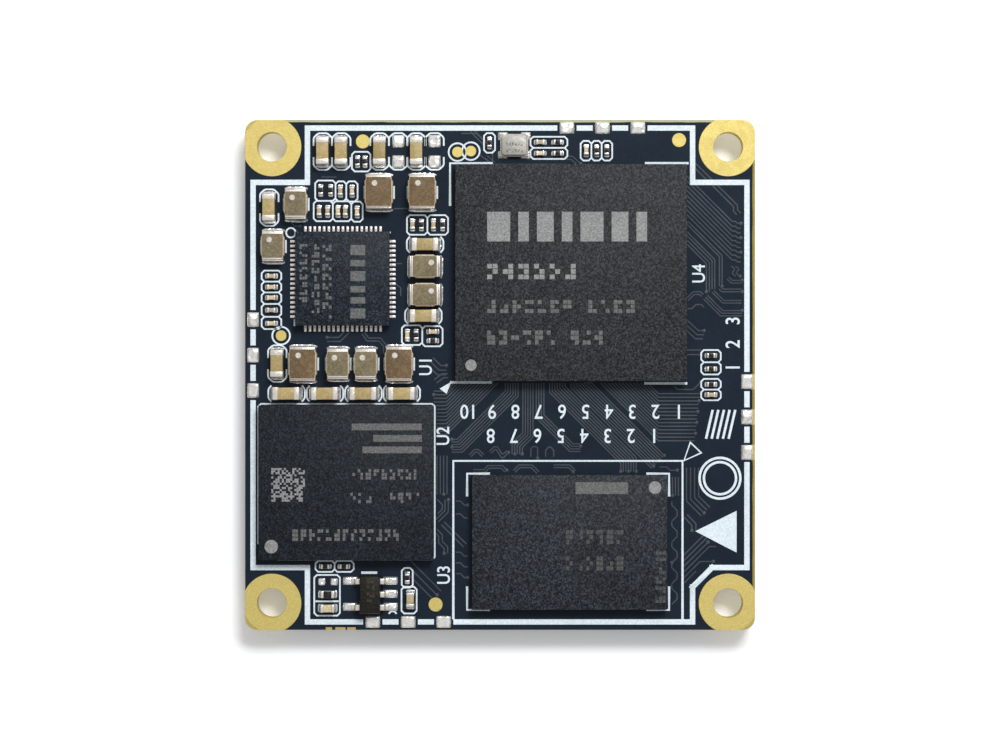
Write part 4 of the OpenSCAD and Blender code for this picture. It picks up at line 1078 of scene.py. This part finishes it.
trackLines, viaSpots = [], []
for index, (line, count, apart) in enumerate(buses):
    for k in range(count):
        path = busPath(line, apart, k)
        trackLines.append((path, False))
        if (index + k) % viaLook["every"] == 0:
            viaSpots.append({"x": path[-1][0], "y": path[-1][1], "turn": 0.0})
tracks = strips("tracks", trackLines, trackLook["width"], trackLook["thickness"], trackLook["bend"],
                "maskOverCopper", trackLook["steps"])
keepPiece("tracks", tracks, sharp=60)
via = bmesh.new()
addCone(via, viaLook["radius"], viaLook["taper"], viaLook["height"], viaLook["sides"],
        (0, 0, viaLook["height"] / 2))
keepPiece("vias", scatter("vias", viaSpots, via, "maskOverCopper", viaLook["seed"]), sharp=60)
print("stage: tracks drawn,", len(trackLines))


# Fine white print round the small parts

printLook = {"fine": 0.122, "broad": 0.18, "shared": 0.25, "thickness": 0.022, "bend": 0.2, "sideRoom": 0.25,
             "endRoom": 0.42}
bowLook = {"end": 1.36, "flat": 0.33, "shoulder": 1.04, "side": 0.69, "from": 0.42,
           "shortShoulder": 1.14, "shortSide": 0.6, "landFrom": 0.8}
dashLook = {"away": 0.05, "half": 0.48}
groupLook = {"inLine": 0.05, "beside": 0.745, "endToEnd": (0.7, 1.35), "chip": (0.31, 0.16), "facing": 0.4}


def together(one, two):
    along, aside = abs(one["x"] - two["x"]), abs(one["y"] - two["y"])
    if one["turn"]:
        along, aside = aside, along
    nearest, farthest = groupLook["endToEnd"]
    sideBySide = along < groupLook["inLine"] and aside < groupLook["beside"]
    endToEnd = aside < groupLook["inLine"] and nearest < along < farthest
    return one["turn"] == two["turn"] and (sideBySide or endToEnd)


def nextPair(groups):
    for a, group in enumerate(groups):
        for b in range(a + 1, len(groups)):
            if any(together(one, two) for one in group for two in groups[b]):
                return a, b
    return None


fineLines, broadLines = [], []
chipGroups = [[s] for s in smallCapSpots + resistorSpots if sizeClass(s["length"]) == "small"]
pair = nextPair(chipGroups)
while pair:
    chipGroups[pair[0]] += chipGroups.pop(pair[1])
    pair = nextPair(chipGroups)
chipBoxes = []
for group in chipGroups:
    upright = bool(group[0]["turn"])
    halfX, halfY = groupLook["chip"][0] + printLook["endRoom"], groupLook["chip"][1] + printLook["sideRoom"]
    if upright:
        halfX, halfY = halfY, halfX
    chipBoxes.append([min(s["x"] for s in group) - halfX, max(s["x"] for s in group) + halfX,
                      min(s["y"] for s in group) - halfY, max(s["y"] for s in group) + halfY])
for one in chipBoxes:  # neighbours share a side
    for two in chipBoxes:
        for near, far, low, high in ((1, 0, 2, 3), (3, 2, 0, 1)):
            facing = min(one[high], two[high]) - max(one[low], two[low]) > groupLook["facing"]
            if one is not two and facing and abs(one[near] - two[far]) < printLook["shared"]:
                one[near] = two[far] = (one[near] + two[far]) / 2
fineLines += [boxLine(*box) for box in chipBoxes]

# Large capacitors: broken side lines and a bow past each end
bowHosts = [(s["x"], s["y"], bool(s["turn"])) for s in capSpots]
columns = {}
for low, high in islandBoxes("bare_lands"):
    if (high - low).x > bowLook["landFrom"]:
        middle = (low + high) / 2
        columns.setdefault(round(middle.x, 1), []).append(middle)
for group in columns.values():
    bowHosts.append((group[0].x, sum(m.y for m in group) / len(group), True))
for x, y, upright in bowHosts:
    for end in (-1, 1):
        bow = [(bowLook["end"], bowLook["flat"])]
        if upright:
            bow += [(bowLook["shoulder"], bowLook["side"]), (bowLook["from"], bowLook["side"])]
        else:
            bow += [(bowLook["shortShoulder"], bowLook["shortSide"])]
        outline = [(end * u, -v) for u, v in reversed(bow)] + [(end * u, v) for u, v in bow]
        fineLines.append((turned(outline, x, y, upright), False))
for middle, span, large, upright in coilBoxes:
    if upright:
        for side in (-1, 1):
            x = middle.x + side * (span.x / 2 + dashLook["away"])
            fineLines.append(openLine((x, middle.y - dashLook["half"]), (x, middle.y + dashLook["half"])))

# Marks at the chips, in the board's own millimetres
fineLines += [
    arcLine(-15.58, 10.60, 0.36), openLine((-15.22, 10.62), (-14.85, 10.62)),
    openLine((-8.75, 10.62), (-8.15, 10.62)), openLine((-15.31, 4.15), (-15.31, 3.65)),
    boxLine(-13.84, -11.93, -17.93, -14.9), openLine((-13.75, -16.86), (-12.02, -16.86)),
    boxLine(-7.34, -6.21, -17.77, -15.78),
    arcLine(-8.0, -17.9, 0.3, start=20, sweep=140, steps=8),
    openLine((-18.02, -12.6), (-18.02, -2.15), (-4.86, -2.15), (-4.86, -13.76), (-16.6, -13.76)),
]
probeLook = {"radius": 0.66, "steps": 24, "spots": [(-3.17, 16.61), (-2.17, 16.68), (-16.31, 2.93)]}
for x, y in probeLook["spots"]:
    fineLines.append(arcLine(x, y, probeLook["radius"], steps=probeLook["steps"]))
broadLines += [
    openLine((-0.55, 15.78), (-3.72, 15.78), (-3.72, 12.6)),
    openLine((10.8, 15.78), (14.05, 15.78)),
    openLine((10.75, -0.62), (13.95, -0.62)), openLine((-3.72, -0.55), (-0.6, -0.55)),
    openLine((-3.48, -18.2), (-3.48, -6.4), (13.6, -6.4), (13.6, -18.2)),
    openLine((-2.45, -9.05), (-2.45, -7.35), (-0.75, -7.35)),
    openLine((12.6, -9.05), (12.6, -7.35), (10.9, -7.35)),
    openLine((-2.45, -15.75), (-2.45, -17.5), (-0.75, -17.5)),
    openLine((12.6, -15.75), (12.6, -17.5), (10.9, -17.5)),
    openLine((-10.34, -14.73), (-9.15, -14.73)), ([(13.71, -6.38), (14.18, -5.02), (15.0, -5.8)], True),
    arcLine(16.39, -7.69, 1.52, steps=40), arcLine(16.39, -7.69, 1.2, steps=36),
]
slantLook = {"from": 15.35, "pitch": 0.42, "lean": 0.5, "low": -4.75, "high": -2.6, "count": 5}
for k in range(slantLook["count"]):
    x = slantLook["from"] + slantLook["pitch"] * k
    broadLines.append(openLine((x, slantLook["low"]), (x + slantLook["lean"], slantLook["high"])))
printStrips = []
for name, lines, bend in (("fine", fineLines, printLook["bend"]), ("broad", broadLines, 0.0)):
    printStrips.append(strips(name + "Strips", lines, printLook[name], printLook["thickness"], bend,
                              "whitePrint"))
keepPiece("finePrint", joined("finePrint", printStrips), sharp=60)


# Flat filled marks

plateSink = 0.004


def addPlate(bm, points, z, thickness):
    lower = [bm.verts.new((x, y, z - plateSink)) for x, y in points]
    upper = [bm.verts.new((x, y, z + thickness)) for x, y in points]
    bm.faces.new(list(reversed(lower)))
    bm.faces.new(upper)
    for k in range(len(points)):
        n = (k + 1) % len(points)
        bm.faces.new((lower[k], lower[n], upper[n], upper[k]))


solidPrint = bmesh.new()
addPlate(solidPrint, [(-3.62, -0.5), (-4.5, -1.02), (-3.98, -1.4)], boardTop, printLook["thickness"])
addPlate(solidPrint, [(14.55, -11.64), (17.63, -13.23), (17.63, -10.12)], boardTop, printLook["thickness"])
keepPiece("solidPrint", toMesh("solidPrint", solidPrint), (), ["whitePrint"])

# Plain numbers and part labels on the board
numberLook = {"size": 1.5, "labelSize": 1.35, "narrow": 0.88, "weight": 0.012, "pitch": 1.74, "smooth": 4}
labels = [("U1", -5.5, 0.65), ("U2", -4.2, -4.55), ("U3", -4.15, -14.9), ("U4", 14.85, 7.55)]
numberRows = [  # middle, count, turn
    ((5.5, -2.68), 10, 180), ((5.4, -4.48), 8, 180), ((17.4, 2.3), 3, 90),
]


def textMesh(body, x, y, size, turn):
    font = bpy.data.curves.new("numbers", "FONT")
    font.body, font.size = body, size
    font.align_x, font.align_y = "CENTER", "CENTER"
    font.extrude = printLook["thickness"] / 2
    font.offset = numberLook["weight"]
    font.resolution_u = numberLook["smooth"]
    mesh = evaluated("numbers", font)
    place = placeAt(x, y, math.radians(turn), boardTop + printLook["thickness"] / 2)
    mesh.transform(toMetres @ place @ Matrix.Scale(numberLook["narrow"], 4, (1, 0, 0)))
    return mesh


numberMeshes = [textMesh(body, x, y, numberLook["labelSize"], 90) for body, x, y in labels]
for (x, y), count, turn in numberRows:
    for k in range(count):
        along = (k - (count - 1) / 2) * numberLook["pitch"]
        spot = placeAt(x, y, math.radians(turn)) @ Vector((along, 0, 0))
        numberMeshes.append(textMesh(str(k + 1), spot.x, spot.y, numberLook["size"], turn))
keepPiece("printedNumbers", joined("printedNumbers", numberMeshes), (), ["whitePrint"])
print("stage: print drawn")


# Laser marks on the chips: a dot for the first terminal and rows of plain block signs

markLook = {"thickness": 0.006, "fill": 0.62, "rows": 3, "wide": 0.7, "block": (0.9, 0.86), "barGap": 1.3,
            "dotSteps": 28}


def signRow(left, right, low, high, count, seed, gaps=()):
    dice = random.Random(seed)
    pitch = (right - left) / count
    wide, tall = pitch * markLook["wide"] / 2, (high - low) / markLook["rows"]
    blocks = []
    for k in range(count):
        if k in gaps:
            continue
        for i in range(2):
            for j in range(markLook["rows"]):
                if dice.random() < markLook["fill"]:
                    x, y = left + k * pitch + i * wide, low + j * tall
                    blocks.append((x, x + wide * markLook["block"][0], y, y + tall * markLook["block"][1]))
    return blocks


def barRow(left, right, low, high, shares):
    pitch = (right - left) / sum(shares)
    edges = [left + pitch * sum(shares[:k]) for k in range(len(shares) + 1)]
    return [(a, b - markLook["barGap"] * pitch, low, high) for a, b in zip(edges, edges[1:])]


def signMesh(name, blocks, z, material, upright=False):
    bm = bmesh.new()
    for left, right, low, high in blocks:
        corners = [(left, low), (right, low), (right, high), (left, high)]
        addPlate(bm, turned(corners, 0, 0, True) if upright else corners, z, markLook["thickness"])
    mesh = toMesh(name, bm)
    mesh.materials.append(finish[material])
    return mesh


def keepMarks(name, meshes):
    keepPiece(name, joined(name, meshes), sharp=60)


def chipTop(node):
    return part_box(node)[1].z * 1000


# A row of signs is given by its left, right, low and high edge, its count, its seed and the signs left out
cpuTop, storageTop, memoryTop, powerTop = (chipTop(n) for n in (
    "processor_moulding", "storage_moulding", "memory_moulding", "power_chip_body"))
cpuBlocks = barRow(-0.95, 11.5, 9.9, 12.1, (5, 3, 4, 3, 5, 4, 3)) + signRow(-0.95, 6.0, 7.1, 8.3, 6, 8)
markMeshes = [signMesh("cpuBars", cpuBlocks, cpuTop, "laserMark")]
softMeshes = [
    signMesh("cpuRows", signRow(-0.95, 10.3, 4.6, 5.6, 12, 12, (7,))
             + signRow(-0.95, 7.9, 2.25, 3.35, 10, 16, (6,)), cpuTop, "softLaserMark"),
    signMesh("storageRows", signRow(-11.15, -5.8, -7.75, -6.95, 9, 20)
             + signRow(-11.1, -5.8, -9.5, -8.7, 9, 24, (3, 4))
             + signRow(-15.4, -7.3, -12.3, -11.4, 13, 28), storageTop, "softLaserMark"),
    signMesh("powerBars", barRow(4.2, 10.0, 10.0, 11.1, (4, 3, 3, 4, 3, 4)), powerTop, "softLaserMark", True),
    signMesh("powerRows", signRow(4.2, 9.9, 12.5, 13.2, 8, 36) + signRow(4.6, 9.9, 13.4, 14.0, 9, 40)
             + signRow(5.4, 9.9, 14.3, 14.9, 8, 44), powerTop, "softLaserMark", True),
]
discs = bmesh.new()
firstDots = [(-2.15, 0.73, 0.42, cpuTop), (-16.96, -12.73, 0.5, storageTop), (11.5, -8.36, 0.47, memoryTop)]
for x, y, radius, z in firstDots:
    addPlate(discs, arcLine(x, y, radius, steps=markLook["dotSteps"])[0], z, markLook["thickness"])
patchLook = {"left": -16.96, "top": -6.9, "cells": 16, "pitch": 0.156, "side": 0.15, "fill": 0.5, "seed": 9}
dice = random.Random(patchLook["seed"])
for i in range(patchLook["cells"]):  # a square patch of seeded dots
    for j in range(patchLook["cells"]):
        if dice.random() < patchLook["fill"]:
            x, y = patchLook["left"] + i * patchLook["pitch"], patchLook["top"] - j * patchLook["pitch"]
            right, low = x + patchLook["side"], y - patchLook["side"]
            addPlate(discs, [(x, y), (right, y), (right, low), (x, low)], storageTop, markLook["thickness"])
markMeshes.append(toMesh("markDiscs", discs))
markMeshes[-1].materials.append(finish["laserMark"])
keepMarks("laserMarks", markMeshes)
levelLook = {"right": -5.8, "low": -4.1, "high": -3.6, "pitch": 0.85, "reach": (5.2, 3.6, 4.4)}
levelBars = []
for k, reach in enumerate(levelLook["reach"]):
    low, high = (levelLook[edge] - k * levelLook["pitch"] for edge in ("low", "high"))
    levelBars.append((levelLook["right"] - reach, levelLook["right"], low, high))
softMeshes.append(signMesh("storageBars", levelBars, storageTop, "softLaserMark"))
softMeshes.append(signMesh("memoryBar", [(5.6, 9.5, -8.83, -7.95)], memoryTop, "softLaserMark"))
keepMarks("softMarks", softMeshes)
faint = [
    signMesh("memoryRows", signRow(4.9, 9.4, -12.55, -11.45, 6, 60) + signRow(4.9, 9.4, -14.5, -13.4, 6, 64),
             memoryTop, "faintLaserMark"),
    signMesh("memorySide", signRow(-16.9, -12.6, -12.3, -11.5, 6, 66), memoryTop, "faintLaserMark", True),
]
keepMarks("faintMarks", faint)
regulatorSigns = signMesh("regulatorMarks", signRow(-17.0, -14.9, 9.3, 9.9, 4, 68), chipTop("regulator_body"),
                          "regulatorMark", True)
keepMarks("regulatorMarks", [regulatorSigns])
lidSigns = signRow(0.45, 1.75, 17.05, 17.3, 6, 70) + signRow(0.45, 1.75, 16.55, 16.8, 6, 72)
keepMarks("crystalMarks", [signMesh("crystalMarks", lidSigns, chipTop("crystal_lid"), "lidMark")])
print("stage: chip marks drawn")


# Floor, light and camera

stageLook = {
    "floor": (0.95, 0.96, 0.98), "half": 3, "paper": 40.0, "darker": 0.995, "glow": 0.16,
    "sky": 0.58, "overhead": (0.24, 1.0),
    "lobes": [((0.35, 0.93, 0.1), (0.2, 0.85), 0.75), ((-0.1, -0.8, 0.59), (0.7, 0.95), 0.4)],
    "key": 0.71, "keySize": (0.12, 0.08), "keyPlace": (0.07, 0.16, 0.24), "lens": 100, "away": 207.0,
}
floorMesh = bpy.data.meshes.new("floor")
half = stageLook["half"]
corners = [(-half, -half, 0), (half, -half, 0), (half, half, 0), (-half, half, 0)]
floorMesh.from_pydata(corners, [], [(0, 1, 2, 3)])
floor = bpy.data.objects.new("floor", floorMesh)
scene.collection.objects.link(floor)
floorMaterial = bpy.data.materials.new("palePaper")
floorMaterial.use_nodes = True
floorTree = floorMaterial.node_tree
paper = noise(floorTree, put(floorTree, "ShaderNodeTexCoord").outputs["Object"], stageLook["paper"])
darker = [c * stageLook["darker"] for c in stageLook["floor"]]
tint = blendColours(floorTree, paper, rgba(stageLook["floor"]), rgba(darker))
feed(floorTree, floorTree.nodes["Principled BSDF"].inputs, {
    "Base Color": tint, "Roughness": 0.9, "Specular IOR Level": 0.0,
    "Emission Color": rgba(stageLook["floor"]), "Emission Strength": stageLook["glow"],
})
floorMesh.materials.append(floorMaterial)

world = bpy.data.worlds.new("studio")
scene.world = world
world.use_nodes = True
sky = world.node_tree
direction = put(sky, "ShaderNodeTexCoord").outputs["Generated"]
rise = put(sky, "ShaderNodeSeparateXYZ", {0: direction}).outputs["Z"]
level = ramp(sky, rise, 0.55, 0.95, *stageLook["overhead"])
for towards, edge, strength in stageLook["lobes"]:  # from behind and from the front
    facing = put(sky, "ShaderNodeVectorMath", {0: direction, 1: towards}, operation="DOT_PRODUCT")
    level = calc(sky, "ADD", level, ramp(sky, facing.outputs["Value"], *edge, 0.0, strength))
shade = put(sky, "ShaderNodeCombineColor", {0: level, 1: level, 2: level}).outputs[0]
feed(sky, sky.nodes["Background"].inputs, {"Color": shade, "Strength": stageLook["sky"]})

keyData = bpy.data.lights.new("key", "AREA")
keyData.shape = "RECTANGLE"
keyData.size, keyData.size_y = stageLook["keySize"]
keyData.energy = stageLook["key"]
key = bpy.data.objects.new("key", keyData)
scene.collection.objects.link(key)
key.location = stageLook["keyPlace"]
key.rotation_euler = (Vector((0, 0, 0)) - key.location).to_track_quat("-Z", "Y").to_euler()

cameraData = bpy.data.cameras.new("camera")
cameraData.lens, cameraData.sensor_width = stageLook["lens"], 36
cameraData.clip_start, cameraData.clip_end = 0.01, 10
camera = bpy.data.objects.new("camera", cameraData)
scene.collection.objects.link(camera)
camera.location = (0.0, 0.0, (stageLook["away"] + boardTop) * 0.001)
scene.camera = camera
scene.view_settings.view_transform = "Standard"
print("stage: floor, light and camera set")
